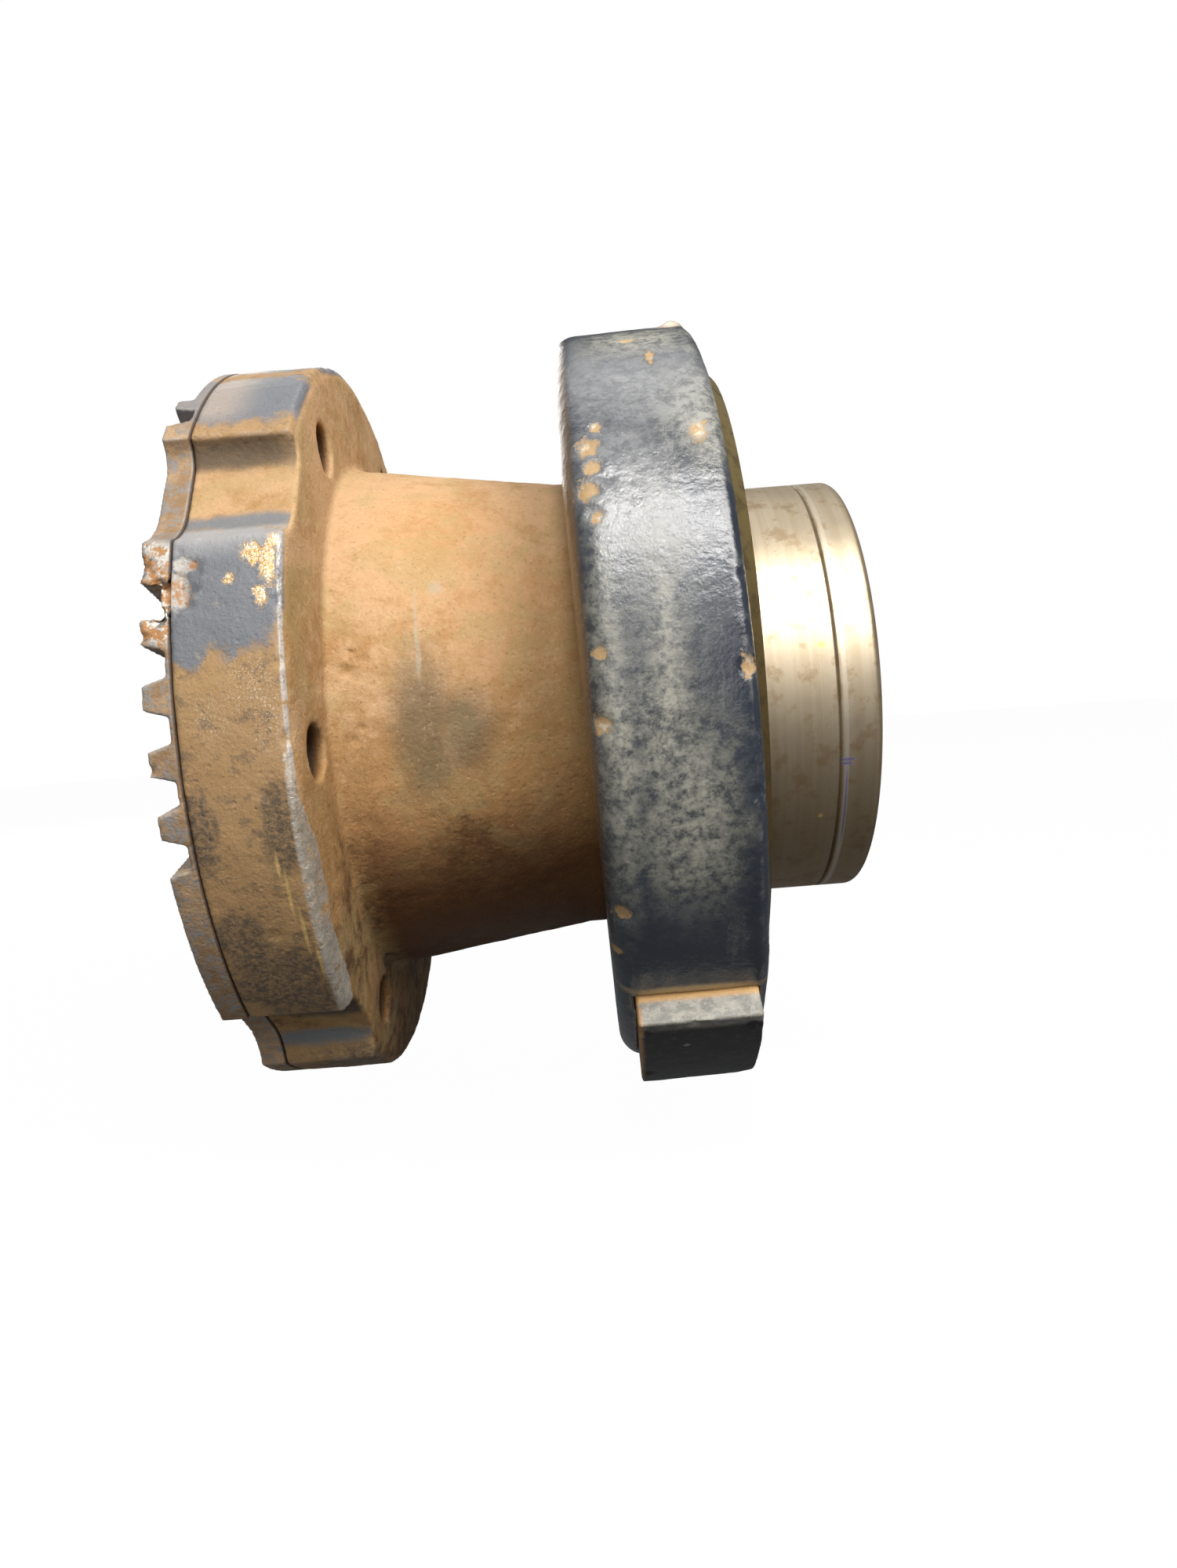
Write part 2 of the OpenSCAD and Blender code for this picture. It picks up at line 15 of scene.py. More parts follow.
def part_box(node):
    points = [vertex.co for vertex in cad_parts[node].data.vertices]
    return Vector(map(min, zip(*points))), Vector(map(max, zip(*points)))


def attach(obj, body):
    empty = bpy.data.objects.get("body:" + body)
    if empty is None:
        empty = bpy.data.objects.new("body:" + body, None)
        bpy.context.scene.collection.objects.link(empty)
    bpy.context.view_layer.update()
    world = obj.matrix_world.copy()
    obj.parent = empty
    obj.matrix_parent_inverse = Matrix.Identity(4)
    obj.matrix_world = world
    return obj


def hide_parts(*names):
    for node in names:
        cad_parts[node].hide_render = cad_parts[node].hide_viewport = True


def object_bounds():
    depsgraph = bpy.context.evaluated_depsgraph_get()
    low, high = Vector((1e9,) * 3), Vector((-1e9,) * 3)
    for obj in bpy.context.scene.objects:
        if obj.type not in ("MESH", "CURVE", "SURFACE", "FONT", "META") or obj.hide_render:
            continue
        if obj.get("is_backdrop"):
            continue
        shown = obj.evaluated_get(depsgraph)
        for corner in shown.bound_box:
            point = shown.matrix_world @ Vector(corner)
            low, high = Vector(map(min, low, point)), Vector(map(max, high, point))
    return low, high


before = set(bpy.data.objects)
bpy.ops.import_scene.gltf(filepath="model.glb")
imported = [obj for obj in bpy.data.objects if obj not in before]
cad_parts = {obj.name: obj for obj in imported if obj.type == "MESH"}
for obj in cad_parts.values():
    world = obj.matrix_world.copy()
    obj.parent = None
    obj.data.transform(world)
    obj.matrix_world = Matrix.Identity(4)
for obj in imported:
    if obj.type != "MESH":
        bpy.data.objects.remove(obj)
cad_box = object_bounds()

# %% [markdown]
# ## Stations along the chuck
# The chuck is a turned thing, so three numbers place any mark on it: how far along the
# spindle axis it lies, its angle round that axis, and its radius. Angles start at the side
# that faces the viewer and grow downwards. Where a piece ends is read from its box. Places
# inside a piece, such as the hub's radius and the bolt circle, are written down here.

# %% Stations in millimetres and degrees
MM = 0.001
flange_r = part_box("dog_ring")[1].y / MM
rim_end = 21.5
neck_end = 70.2
neck_end_r = 54.5
neck_taper = 0.143
ring_r = 87.0
hub_r = 49.5
bolts = 6
bolt_circle_r = 71.0
first_bolt_angle = 4
seam_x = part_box("nose_sleeve")[1].x / MM
nose_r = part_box("nose_cap")[1].y / MM
print(f"flange radius {flange_r:.1f}, seam {seam_x:.1f}, nose radius {nose_r:.1f}")

# %% [markdown]
# ## A cast skin from an exact solid
# A sand casting has no knife-sharp edge and no perfect plane. Sculpting by hand would do,
# but the exact solid already has the right shape, so each rough piece starts as a copy of
# it: the copy is welded, rebuilt as an even net of small squares, and relaxed a little.
# The even net then carries dents, pits and ripples that are worked out in numbers.

# %% Copy a node as an even net
def even_net(node, name, cell, relax):
    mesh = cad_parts[node].data.copy()
    piece = bpy.data.objects.new(name, mesh)
    bpy.context.scene.collection.objects.link(piece)
    weld = piece.modifiers.new("Weld", "WELD")
    weld.merge_threshold = 0.002 * MM
    remesh = piece.modifiers.new("Net", "REMESH")
    remesh.mode = "VOXEL"
    remesh.voxel_size = cell * MM
    smooth = piece.modifiers.new("Relax", "SMOOTH")
    smooth.factor = 0.5
    smooth.iterations = relax
    graph = bpy.context.evaluated_depsgraph_get()
    piece.data = bpy.data.meshes.new_from_object(piece.evaluated_get(graph))
    piece.modifiers.clear()
    piece.data.materials.clear()
    piece.data.shade_smooth()
    print(name, "has", len(piece.data.vertices), "points")
    return piece

# %% Read and write the points of a piece
def points_of(piece):
    co = np.empty(len(piece.data.vertices) * 3, np.float32)
    piece.data.vertices.foreach_get("co", co)
    return co.reshape(-1, 3).astype(float) / MM

def normals_of(piece):
    out = np.empty(len(piece.data.vertices) * 3, np.float32)
    piece.data.vertex_normals.foreach_get("vector", out)
    return out.reshape(-1, 3).astype(float)

def set_points(piece, points):
    piece.data.vertices.foreach_set("co", (points * MM).astype(np.float32).ravel())
    piece.data.update()

def mark_points(piece, name, values):
    layer = piece.data.attributes.new(name, "FLOAT", "POINT")
    layer.data.foreach_set("value", values.astype(np.float32))

def along_angle_radius(points):
    x, y, z = points.T
    return x, np.degrees(np.arctan2(-z, -y)), np.hypot(y, z)

def ripple(points, size, seed, octaves=3):
    """A smooth noise of about -1 to 1 whose bumps are about size millimetres wide."""
    shift = Vector((seed * 7.3, seed * 3.1, seed * 5.7))
    return np.array([noise.fractal(Vector(p) / size + shift, 0.9, 2.0, octaves) for p in points])

def dent(points, along, angle, radius, wide, deep, rough=0.35):
    """Depth of a ragged dent whose middle lies at that place of the skin."""
    a = math.radians(angle)
    centre = np.array([along, -radius * math.cos(a), -radius * math.sin(a)])
    away = np.linalg.norm(points - centre, axis=1)
    near = away < wide * 1.6
    depth = np.zeros(len(points))
    if near.any():
        ragged = away[near] + rough * wide * ripple(points[near], wide * 0.5, along)
        depth[near] = deep * np.clip(1.2 - (ragged / wide) ** 2, 0, 1)
    return depth

def ease(low, high, value):
    t = np.clip((value - low) / (high - low), 0, 1)
    return t * t * (3 - 2 * t)

# %% [markdown]
# ## The cast body
# The body is one rusty casting: flange, neck and hub. The sand left it rippled, with a few
# blow holes near the flange. Someone also ground the front corner of the rim by hand, which
# left a bright sloping facet, widest near its middle, and one corner by the teeth is torn.
# The hub, the spigot and the bores are machined and stay true. The facet and the bolt holes
# are also marked on the points, because the finish has to know where they are.

# %% The body's net and ripples
body_skin = even_net("body", "body_casting", 0.7, 3)
spots = points_of(body_skin)
out = normals_of(body_skin)
along, angle, radius = along_angle_radius(spots)
past_seat = ease(1.2, 2.5, along)
before_hub = 1 - ease(69, 70.5, along)
outside_bores = ease(52.5, 54.5, radius)
by_bolts = ease(6.5, 5.0, np.abs(radius - 70))
bolt_walls = by_bolts * (np.abs(out[:, 0]) < 0.3) * (radius < 76)
cast = past_seat * before_hub * outside_bores * (1 - 0.7 * bolt_walls)
push = np.zeros(len(spots))
rough = cast > 0
push[rough] += 0.16 * ripple(spots[rough], 9.0, 1) + 0.07 * ripple(spots[rough], 2.2, 2, 2)
print("cast points:", int(rough.sum()))

# %% Blow holes in the neck, dents in the rim and the torn corner
def neck_r(x):
    return neck_end_r + neck_taper * (neck_end - x)

for x, a, wide, deep in ((26.5, -10, 1.4, 0.6), (27.4, -13.5, 1.0, 0.45), (27.0, 3.5, 1.1, 0.45),
                         (28.6, -8.5, 0.8, 0.4), (30.5, -12.0, 1.1, 0.4), (29.0, 1.0, 1.0, 0.35),
                         (47.0, 22.0, 1.0, 0.3), (58.0, -30.0, 1.0, 0.3), (36.0, 110.0, 1.4, 0.5),
                         (44.0, 150.0, 1.2, 0.4), (52.0, -120.0, 1.2, 0.4), (31.0, 174.0, 1.4, 0.5)):
    push -= dent(spots, x, a, neck_r(x), wide, deep)
for x, a, wide, deep in ((2.0, -17.5, 4.2, 1.5), (4.5, -20.5, 2.6, 0.7), (0.6, -22.5, 2.4, 0.8),
                         (20.9, -16.0, 1.6, 0.5), (21.0, 1.0, 1.5, 0.5), (20.8, -8.0, 1.2, 0.4),
                         (12.0, 27.0, 1.6, 0.3), (16.0, 8.0, 1.3, 0.25), (20.8, 96.0, 2.0, 0.6),
                         (9.0, 118.0, 2.4, 0.4), (21.0, 205.0, 1.8, 0.5), (19.0, -75.0, 2.2, 0.5)):
    push -= dent(spots, x, a, flange_r, wide, deep)
spots += out * (push * cast)[:, None]

# %% The hand-ground facet on the rim's front corner
facet_start_angle = 3
facet_end_angle = 45.5
facet_depth = 1.7
facet_slope = 0.13

def facet_inner(a):
    """Radius of the facet's inner edge at that angle."""
    return flange_r - 6.4 * ease(5, 19, a) + 1.2 * ease(22, 28, a) + 2.2 * ease(38, 45, a)

spots_along, spots_angle, spots_radius = along_angle_radius(spots)
waver = 0.5 * ripple(spots, 5.0, 4, 2) * (spots_radius > 74)
from_inner = spots_radius - facet_inner(spots_angle) + waver
in_span = (spots_angle > facet_start_angle) & (spots_angle < facet_end_angle)
on_facet = (from_inner > 0) & in_span & (spots_along > rim_end - facet_depth)
facet_face = rim_end + 0.3 - facet_slope * from_inner[on_facet]
spots[on_facet, 0] = np.minimum(spots[on_facet, 0], facet_face)
mark_points(body_skin, "ground", on_facet)
print("facet points:", int(on_facet.sum()))

# %% Room for the ring on the hub, and the bolt holes marked
hub_side = (spots_along > 70) & (np.abs(spots_radius - hub_r) < 0.4)
spots[hub_side, 1:] *= (hub_r - 0.15) / hub_r
set_points(body_skin, spots)
from_bolt = np.full(len(spots), 99.0)
for turn in range(bolts):
    a = math.radians(first_bolt_angle + 360 / bolts * turn)
    across = spots[:, 1] + bolt_circle_r * math.cos(a)
    up = spots[:, 2] + bolt_circle_r * math.sin(a)
    from_bolt = np.minimum(from_bolt, np.hypot(across, up))
in_hole = (1 - ease(5.7, 6.3, from_bolt)) * ease(rim_end + 0.3, rim_end - 0.6, spots[:, 0])
mark_points(body_skin, "hole", in_hole)
print("bolt hole points:", int((in_hole > 0).sum()))
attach(body_skin, "chuck_body")
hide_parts("body")

# %% [markdown]
# ## The dog ring
# The toothed ring is a harder steel, cut with square-shouldered teeth. Years of engaging
# the spindle have rounded the tooth corners and torn the tooth next to the damaged corner.
# It is netted more finely than the body, so that the teeth keep their flanks.

# %% The dog ring's net and its worn teeth
dog_skin = even_net("dog_ring", "dog_ring_worn", 0.4, 1)
spots = points_of(dog_skin)
out = normals_of(dog_skin)
along, angle, radius = along_angle_radius(spots)
worn = ease(61.5, 63, radius)
push = 0.05 * ripple(spots, 5.0, 6, 2)
for x, a, r, wide, deep in ((0.5, -17.5, 84.0, 3.6, 1.7), (-1.0, -14.6, 84.2, 1.8, 1.0),
                            (-4.2, -21.5, 83.5, 2.2, 0.8), (-3.8, -22.5, 77.0, 2.0, 0.6),
                            (-4.2, -12.4, 84.0, 1.5, 0.6), (-4.2, 3.8, 84.3, 1.2, 0.4),
                            (-4.3, 11.7, 82.0, 1.2, 0.4), (-4.2, 160.0, 84.0, 2.0, 0.7),
                            (-4.2, -130.0, 83.0, 1.6, 0.5), (-4.3, 102.0, 80.0, 2.0, 0.4)):
    push -= dent(spots, x, a, r, wide, deep, 0.5)
spots += out * (push * worn)[:, None]
set_points(dog_skin, spots)
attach(dog_skin, "chuck_body")
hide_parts("dog_ring")

# %% [markdown]
# ## The operating ring and its strike lug
# The ring is a heavy casting under glossy enamel. A hammer has been at it: the rear corner
# is bruised in a row of small chips, the front edge is nicked, and the lug's corners are
# knocked round. Its bore and its pocket run on the hub, so they stay out of the sculpting.

# %% The operating ring's net and bruises
ring_skin = even_net("operating_ring", "operating_ring_casting", 0.7, 3)
spots = points_of(ring_skin)
out = normals_of(ring_skin)
along, angle, radius = along_angle_radius(spots)
pocket_lip = ease(0, 1.5, along - 103.2) * (radius < 84)
outer = ease(80.2, 81.5, radius) * (1 - 0.8 * pocket_lip)
bruise = 0.10 * ripple(spots, 14.0, 8, 2) + 0.035 * ripple(spots, 3.0, 9, 2)
for x, a, wide, deep in ((77.6, -33.0, 2.6, 0.45), (78.2, -29.5, 2.2, 0.4), (77.2, -26.5, 2.8, 0.5),
                         (77.8, -23.0, 2.0, 0.4), (79.4, -36.0, 1.8, 0.3), (81.0, -28.0, 1.6, 0.25),
                         (76.6, 2.5, 2.4, 0.4), (76.9, -6.0, 1.6, 0.3), (77.5, 27.0, 2.4, 0.45),
                         (76.2, 34.0, 1.5, 0.35), (102.6, -3.0, 1.8, 0.5), (102.9, -14.0, 1.2, 0.35),
                         (103.0, 12.0, 1.4, 0.4), (98.5, -34.5, 1.8, 0.2), (88.0, -60.0, 2.4, 0.25),
                         (77.0, 96.0, 2.6, 0.4), (78.4, 132.0, 2.2, 0.4), (102.2, 150.0, 2.0, 0.5),
                         (90.0, 120.0, 3.0, 0.3), (77.4, -120.0, 2.6, 0.5)):
    bruise -= dent(spots, x, a, ring_r - 0.6, wide, deep)
spots += out * (bruise * outer)[:, None]
along, angle, radius = along_angle_radius(spots)
bore_side = np.abs(radius - hub_r) < 0.4
spots[bore_side, 1:] *= (hub_r + 0.2) / hub_r
set_points(ring_skin, spots)
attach(ring_skin, "ring_assembly")
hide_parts("operating_ring")

# %% The strike lug's knocked corners
lug_skin = even_net("strike_lug", "strike_lug_worn", 0.5, 4)
spots = points_of(lug_skin)
out = normals_of(lug_skin)
bruise = 0.10 * ripple(spots, 6.0, 12, 3) * ease(86.5, 88, along_angle_radius(spots)[2])
for x, a, r, wide, deep in ((102.0, 44.5, 94.0, 1.6, 0.6), (80.0, 44.0, 93.5, 1.8, 0.5),
                            (90.0, 43.0, 94.0, 1.4, 0.4), (80.5, 58.0, 93.8, 2.0, 0.5)):
    bruise -= dent(spots, x, a, r, wide, deep)
spots += out * bruise[:, None]
set_points(lug_skin, spots)
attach(lug_skin, "ring_assembly")
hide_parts("strike_lug")

# %% [markdown]
# ## Words for building finishes
# Node trees read badly when every node takes four lines of script. These few words make
# one node each and connect whatever they are given, a number or another node's output.
# A name such as times or less says what is worked out, so a finish reads like a recipe.

# %% A small set of words for node trees
class Words:
    def __init__(self, tree):
        self.tree = tree

    def join(self, value, socket):
        self.tree.links.new(value, socket)

    def put(self, kind, inputs, **settings):
        node = self.tree.nodes.new(kind)
        for key, value in settings.items():
            setattr(node, key, value)
        for key, value in inputs.items():
            if isinstance(value, bpy.types.NodeSocket):
                self.join(value, node.inputs[key])
            elif value is not None:
                node.inputs[key].default_value = value
        return node

    def sum(self, how, a, b=None, c=None, clamp=False):
        inputs = {0: a, 1: b} if c is None else {0: a, 1: b, 2: c}
        return self.put("ShaderNodeMath", inputs, operation=how, use_clamp=clamp).outputs[0]

    def times(self, a, b):
        return self.sum("MULTIPLY", a, b)

    def plus(self, a, b):
        return self.sum("ADD", a, b)

    def less(self, a, b, clamp=False):
        return self.sum("SUBTRACT", a, b, clamp=clamp)

    def most(self, a, b):
        return self.sum("MAXIMUM", a, b)

    def times_plus(self, a, b, c, clamp=False):
        return self.sum("MULTIPLY_ADD", a, b, c, clamp)

    def vector(self, how, a, b):
        return self.put("ShaderNodeVectorMath", {0: a, 1: b}, operation=how).outputs[0]

    def noise(self, place, scale, detail=4.0, rough=0.55, twist=0.0):
        return self.put("ShaderNodeTexNoise", {"Vector": place, "Scale": scale, "Detail": detail,
                                               "Roughness": rough, "Distortion": twist}).outputs["Fac"]

    def ease(self, value, low, high):
        return self.put("ShaderNodeMapRange", {"Value": value, "From Min": low, "From Max": high},
                        interpolation_type="SMOOTHSTEP").outputs["Result"]

    def blend(self, how_much, a, b):
        return self.put("ShaderNodeMix", {0: how_much, 6: a, 7: b}, data_type="RGBA").outputs[2]

    def use(self, group, **inputs):
        node = self.put("ShaderNodeGroup", {}, node_tree=bpy.data.node_groups[group])
        for key, value in inputs.items():
            key = key.replace("_", " ")
            if isinstance(value, bpy.types.NodeSocket):
                self.join(value, node.inputs[key])
            else:
                node.inputs[key].default_value = value
        return node.outputs

def rgb(r, g, b):
    return (r, g, b, 1.0)

# %% A word that starts a new shader node group
def start_group(name, takes, gives):
    tree = bpy.data.node_groups.new(name, "ShaderNodeTree")
    for label, kind, value in takes:
        socket = tree.interface.new_socket(label, in_out="INPUT", socket_type="NodeSocket" + kind)
        if value is not None:
            socket.default_value = value
    for label, kind in gives:
        tree.interface.new_socket(label, in_out="OUTPUT", socket_type="NodeSocket" + kind)
    words = Words(tree)
    inside = tree.nodes.new("NodeGroupInput").outputs
    outside = tree.nodes.new("NodeGroupOutput").inputs
    print("group:", name)
    return words, inside, outside

# %% [markdown]
# ## Where on the chuck a point lies
# Stains and chips sit at known places, so the finishes need the same three numbers as the
# sculpting: along, angle, radius. This group works them out from the piece's own
# coordinates, which turn with the ring, so no stain slides when the ring is turned.

# %% Group: round coordinates
words, takes, gives = start_group("Round Coordinates", [],
                                  [("Place", "Vector"), ("Along", "Float"), ("Angle", "Float"),
                                   ("Radius", "Float")])
coordinates = words.put("ShaderNodeTexCoord", {}).outputs["Object"]
place = words.vector("MULTIPLY", coordinates, (1 / MM, 1 / MM, 1 / MM))
xyz = words.put("ShaderNodeSeparateXYZ", {0: place}).outputs
turn = words.sum("ARCTAN2", words.times(xyz[2], -1.0), words.times(xyz[1], -1.0))
square = words.times_plus(xyz[1], xyz[1], words.times(xyz[2], xyz[2]))
words.join(place, gives["Place"])
words.join(xyz[0], gives["Along"])
words.join(words.times(turn, 180 / math.pi), gives["Angle"])
words.join(words.sum("SQRT", square), gives["Radius"])

# %% Group: one ragged patch at a place
words, takes, gives = start_group("Patch", [("Along", "Float", 0.0), ("Angle", "Float", 0.0),
                                            ("Ragged", "Float", 0.5), ("At Along", "Float", 0.0),
                                            ("At Angle", "Float", 0.0), ("Half Length", "Float", 5.0),
                                            ("Half Span", "Float", 5.0), ("Raggedness", "Float", 1.0),
                                            ("Softness", "Float", 0.5)], [("Mask", "Float")])
far_x = words.sum("DIVIDE", words.less(takes["Along"], takes["At Along"]), takes["Half Length"])
swing = words.sum("WRAP", words.less(takes["Angle"], takes["At Angle"]), 180.0, -180.0)
far_a = words.sum("DIVIDE", swing, takes["Half Span"])
reach = words.sum("SQRT", words.times_plus(far_x, far_x, words.times(far_a, far_a)))
edge = words.times_plus(words.less(takes["Ragged"], 0.5), takes["Raggedness"], reach)
outer = words.plus(1.0, takes["Softness"])
inner = words.less(1.0, takes["Softness"])
words.join(words.ease(edge, outer, inner), gives["Mask"])

# %% [markdown]
# ## Shared marks of use
# Five effects turn up on several pieces: worn edges, the grain of cast iron, the fine lines
# that turning and grinding leave, dust that runs down in streaks, and rust in three tones.
# Each is one group that gives masks, heights or colours, so every finish can use it with
# its own strength.

# %% Group: worn edges
words, takes, gives = start_group("Edge Wear", [("Place", "Vector", None), ("Reach", "Float", 0.53),
                                                ("Soft", "Float", 0.04), ("Break Up", "Float", 0.06)],
                                  [("Mask", "Float"), ("Hollow", "Float")])
sharp = words.put("ShaderNodeNewGeometry", {}).outputs["Pointiness"]
swing = words.less(words.noise(takes["Place"], 0.25, 5.0), 0.5)
broken = words.times_plus(swing, takes["Break Up"], sharp)
low = words.less(takes["Reach"], takes["Soft"])
high = words.plus(takes["Reach"], takes["Soft"])
words.join(words.ease(broken, low, high), gives["Mask"])
words.join(words.ease(sharp, 0.495, 0.44), gives["Hollow"])

# %% Group: cast grain
words, takes, gives = start_group("Cast Grain",
                                  [("Place", "Vector", None), ("Grain Size", "Float", 1.0),
                                   ("Pits", "Float", 0.5)], [("Height", "Float"), ("Speck", "Float")])
fine = words.sum("DIVIDE", 1.0, takes["Grain Size"])
sand = words.noise(takes["Place"], words.times(fine, 1.1), 6.0, 0.65)
cells = words.put("ShaderNodeTexVoronoi", {"Vector": takes["Place"], "Scale": words.times(fine, 0.45),
                                           "Randomness": 1.0}).outputs["Distance"]
pit = words.times(words.ease(cells, 0.28, 0.05), takes["Pits"])
words.join(words.less(sand, pit), gives["Height"])
speck = words.noise(takes["Place"], words.times(fine, 2.4), 2.0, 0.8)
words.join(words.ease(speck, 0.60, 0.72), gives["Speck"])

# %% Group: tool lines of turning and grinding
words, takes, gives = start_group("Tool Lines",
                                  [("Place", "Vector", None), ("Lines Per MM", "Float", 3.0),
                                   ("Waver", "Float", 0.02)], [("Height", "Float"), ("Tint", "Float")])
xyz = words.put("ShaderNodeSeparateXYZ", {0: takes["Place"]}).outputs
flat = words.put("ShaderNodeCombineXYZ", {0: words.times(xyz[0], takes["Lines Per MM"]),
                                          1: words.times(xyz[1], takes["Waver"]),
                                          2: words.times(xyz[2], takes["Waver"])}).outputs[0]
words.join(words.noise(flat, 1.0, 3.0, 0.7), gives["Height"])
words.join(words.noise(flat, 0.23, 4.0, 0.6), gives["Tint"])

# %% Group: dust that follows the curve in streaks
words, takes, gives = start_group("Dust Streaks",
                                  [("Place", "Vector", None), ("Amount", "Float", 0.5),
                                   ("Streak", "Float", 0.3)], [("Mask", "Float")])
xyz = words.put("ShaderNodeSeparateXYZ", {0: takes["Place"]}).outputs
drawn = words.put("ShaderNodeCombineXYZ", {0: xyz[0], 1: words.times(xyz[1], takes["Streak"]),
                                           2: words.times(xyz[2], takes["Streak"])}).outputs[0]
run = words.noise(drawn, 0.22, 5.0, 0.6, 0.4)
cloud = words.noise(takes["Place"], 0.06, 4.0, 0.55)
grit = words.noise(takes["Place"], 1.6, 3.0, 0.75)
mixed = words.times_plus(run, 0.5, words.times(cloud, 0.4))
mixed = words.plus(mixed, words.times(grit, 0.22))
start = words.less(0.86, words.times(takes["Amount"], 0.55))
words.join(words.ease(mixed, start, words.plus(start, 0.16)), gives["Mask"])

# %% Group: rust in three tones
words, takes, gives = start_group("Rust Tones",
                                  [("Place", "Vector", None), ("Light", "Color", (0.5, 0.3, 0.16, 1)),
                                   ("Middle", "Color", (0.3, 0.16, 0.07, 1)),
                                   ("Dark", "Color", (0.07, 0.04, 0.02, 1)), ("Darkness", "Float", 0.4)],
                                  [("Color", "Color"), ("Tone", "Float")])
broad = words.noise(takes["Place"], 0.035, 5.0, 0.6, 0.6)
mottle = words.noise(takes["Place"], 0.22, 6.0, 0.68)
grit = words.noise(takes["Place"], 1.3, 3.0, 0.8)
tone = words.times_plus(broad, 0.5, words.times(mottle, 0.42))
tone = words.plus(tone, words.times(grit, 0.16))
tone = words.plus(tone, words.times(takes["Darkness"], 0.3))
first = words.blend(words.ease(tone, 0.50, 0.66), takes["Light"], takes["Middle"])
words.join(words.blend(words.ease(tone, 0.66, 0.84), first, takes["Dark"]), gives["Color"])
words.join(tone, gives["Tone"])

# %% [markdown]
# ## Starting and finishing a material
# Every finish ends in one Principled shader. Colour, roughness, metal and height change over
# the surface and come from nodes. Values that are the same all over go on the shader itself.

# %% Start a finish and close it
def start_finish(name):
    finish = bpy.data.materials.new(name)
    finish.use_nodes = True
    finish.node_tree.nodes.clear()
    words = Words(finish.node_tree)
    return finish, words, words.use("Round Coordinates")

def close_finish(finish, words, colour, rough, metal, height, bump, specular=0.5):
    shader = words.put("ShaderNodeBsdfPrincipled", {"Base Color": colour, "Roughness": rough,
                                                    "Metallic": metal, "Specular IOR Level": specular})
    relief = words.put("ShaderNodeBump", {"Strength": bump, "Distance": 0.5 * MM, "Height": height})
    words.join(relief.outputs[0], shader.inputs["Normal"])
    words.put("ShaderNodeOutputMaterial", {"Surface": shader.outputs[0]})
    print("finish:", finish.name)
    return finish

def patches(words, here, ragged, places, softness=0.35, raggedness=1.6):
    """One mask for several patches, each (along, angle, half length, half span)."""
    total = None
    for x, a, half_x, half_a in places:
        mask = words.use("Patch", Along=here["Along"], Angle=here["Angle"], Ragged=ragged, At_Along=x,
                         At_Angle=a, Half_Length=half_x, Half_Span=half_a, Raggedness=raggedness,
                         Softness=softness)["Mask"]
        total = mask if total is None else words.most(total, mask)
    return total

# %% [markdown]
# ## Rust, paint and bare metal on the body
# The casting was painted blue-grey once. Paint survives on the upper blocks of the rim, has
# gone to brown rust lower down, and is knocked off to bright metal in chips. The neck is all
# rust, tan on top and golden brown at the side, with one dark stain in the middle; it is painted
# near black underneath and darker next to the ring, as painted shade. Building it as layers,
# from rust up to chips, keeps each one simple.

# %% The rusted casting: rust, stains and painted shade
rusted_casting, words, here = start_finish("rusted casting")
place, along, angle, radius = here["Place"], here["Along"], here["Angle"], here["Radius"]
ragged = words.noise(place, 0.16, 6.0, 0.7)
blotch = words.noise(place, 0.30, 6.0, 0.75)
# Painted shade: the rust tones are made darker towards the bottom of the casting.
from_low = words.sum("ABSOLUTE", words.sum("WRAP", words.less(angle, 75.0), 180.0, -180.0))
underside = words.ease(from_low, 105.0, 25.0)
rust = words.use("Rust Tones", Place=place, Light=rgb(0.50, 0.315, 0.165), Middle=rgb(0.36, 0.20, 0.075),
                 Dark=rgb(0.10, 0.05, 0.018), Darkness=words.times(underside, 0.75))
warm = patches(words, here, ragged, ((46, -42, 14, 18), (58, -20, 12, 16), (34, 25, 8, 12),
                                     (60, 20, 8, 14), (50, 100, 16, 20), (42, 170, 14, 24)), 0.8, 1.2)
colour = words.blend(words.times(warm, 0.45), rust["Color"], rgb(0.52, 0.27, 0.11))
olive = words.ease(words.noise(place, 0.075, 5.0, 0.7, 0.8), 0.48, 0.60)
colour = words.blend(words.times(olive, 0.5), colour, rgb(0.40, 0.285, 0.125))
# Painted shadow of the ring on the upper neck next to it.
ring_shadow_on_neck = words.times(words.ease(along, 50.0, 73.0), words.ease(angle, -60.0, 0.0))
colour = words.blend(words.times(ring_shadow_on_neck, 0.5), colour, rgb(0.23, 0.13, 0.045))
stain = patches(words, here, ragged, ((41, 2, 6, 14), (49, 3, 6, 8), (44, 56, 16, 9), (58, 60, 12, 12),
                                      (36, 120, 9, 12), (56, 190, 8, 12)), 0.6, 1.3)
colour = words.blend(words.times(stain, 0.68), colour, rgb(0.115, 0.09, 0.05))
streak = patches(words, here, ragged, ((40.6, -19, 0.35, 7), (40.9, -12, 0.5, 4), (44.5, -27, 1.6, 1.6)),
                 0.5, 1.6)
colour = words.blend(words.times(streak, 0.5), colour, rgb(0.40, 0.36, 0.27))

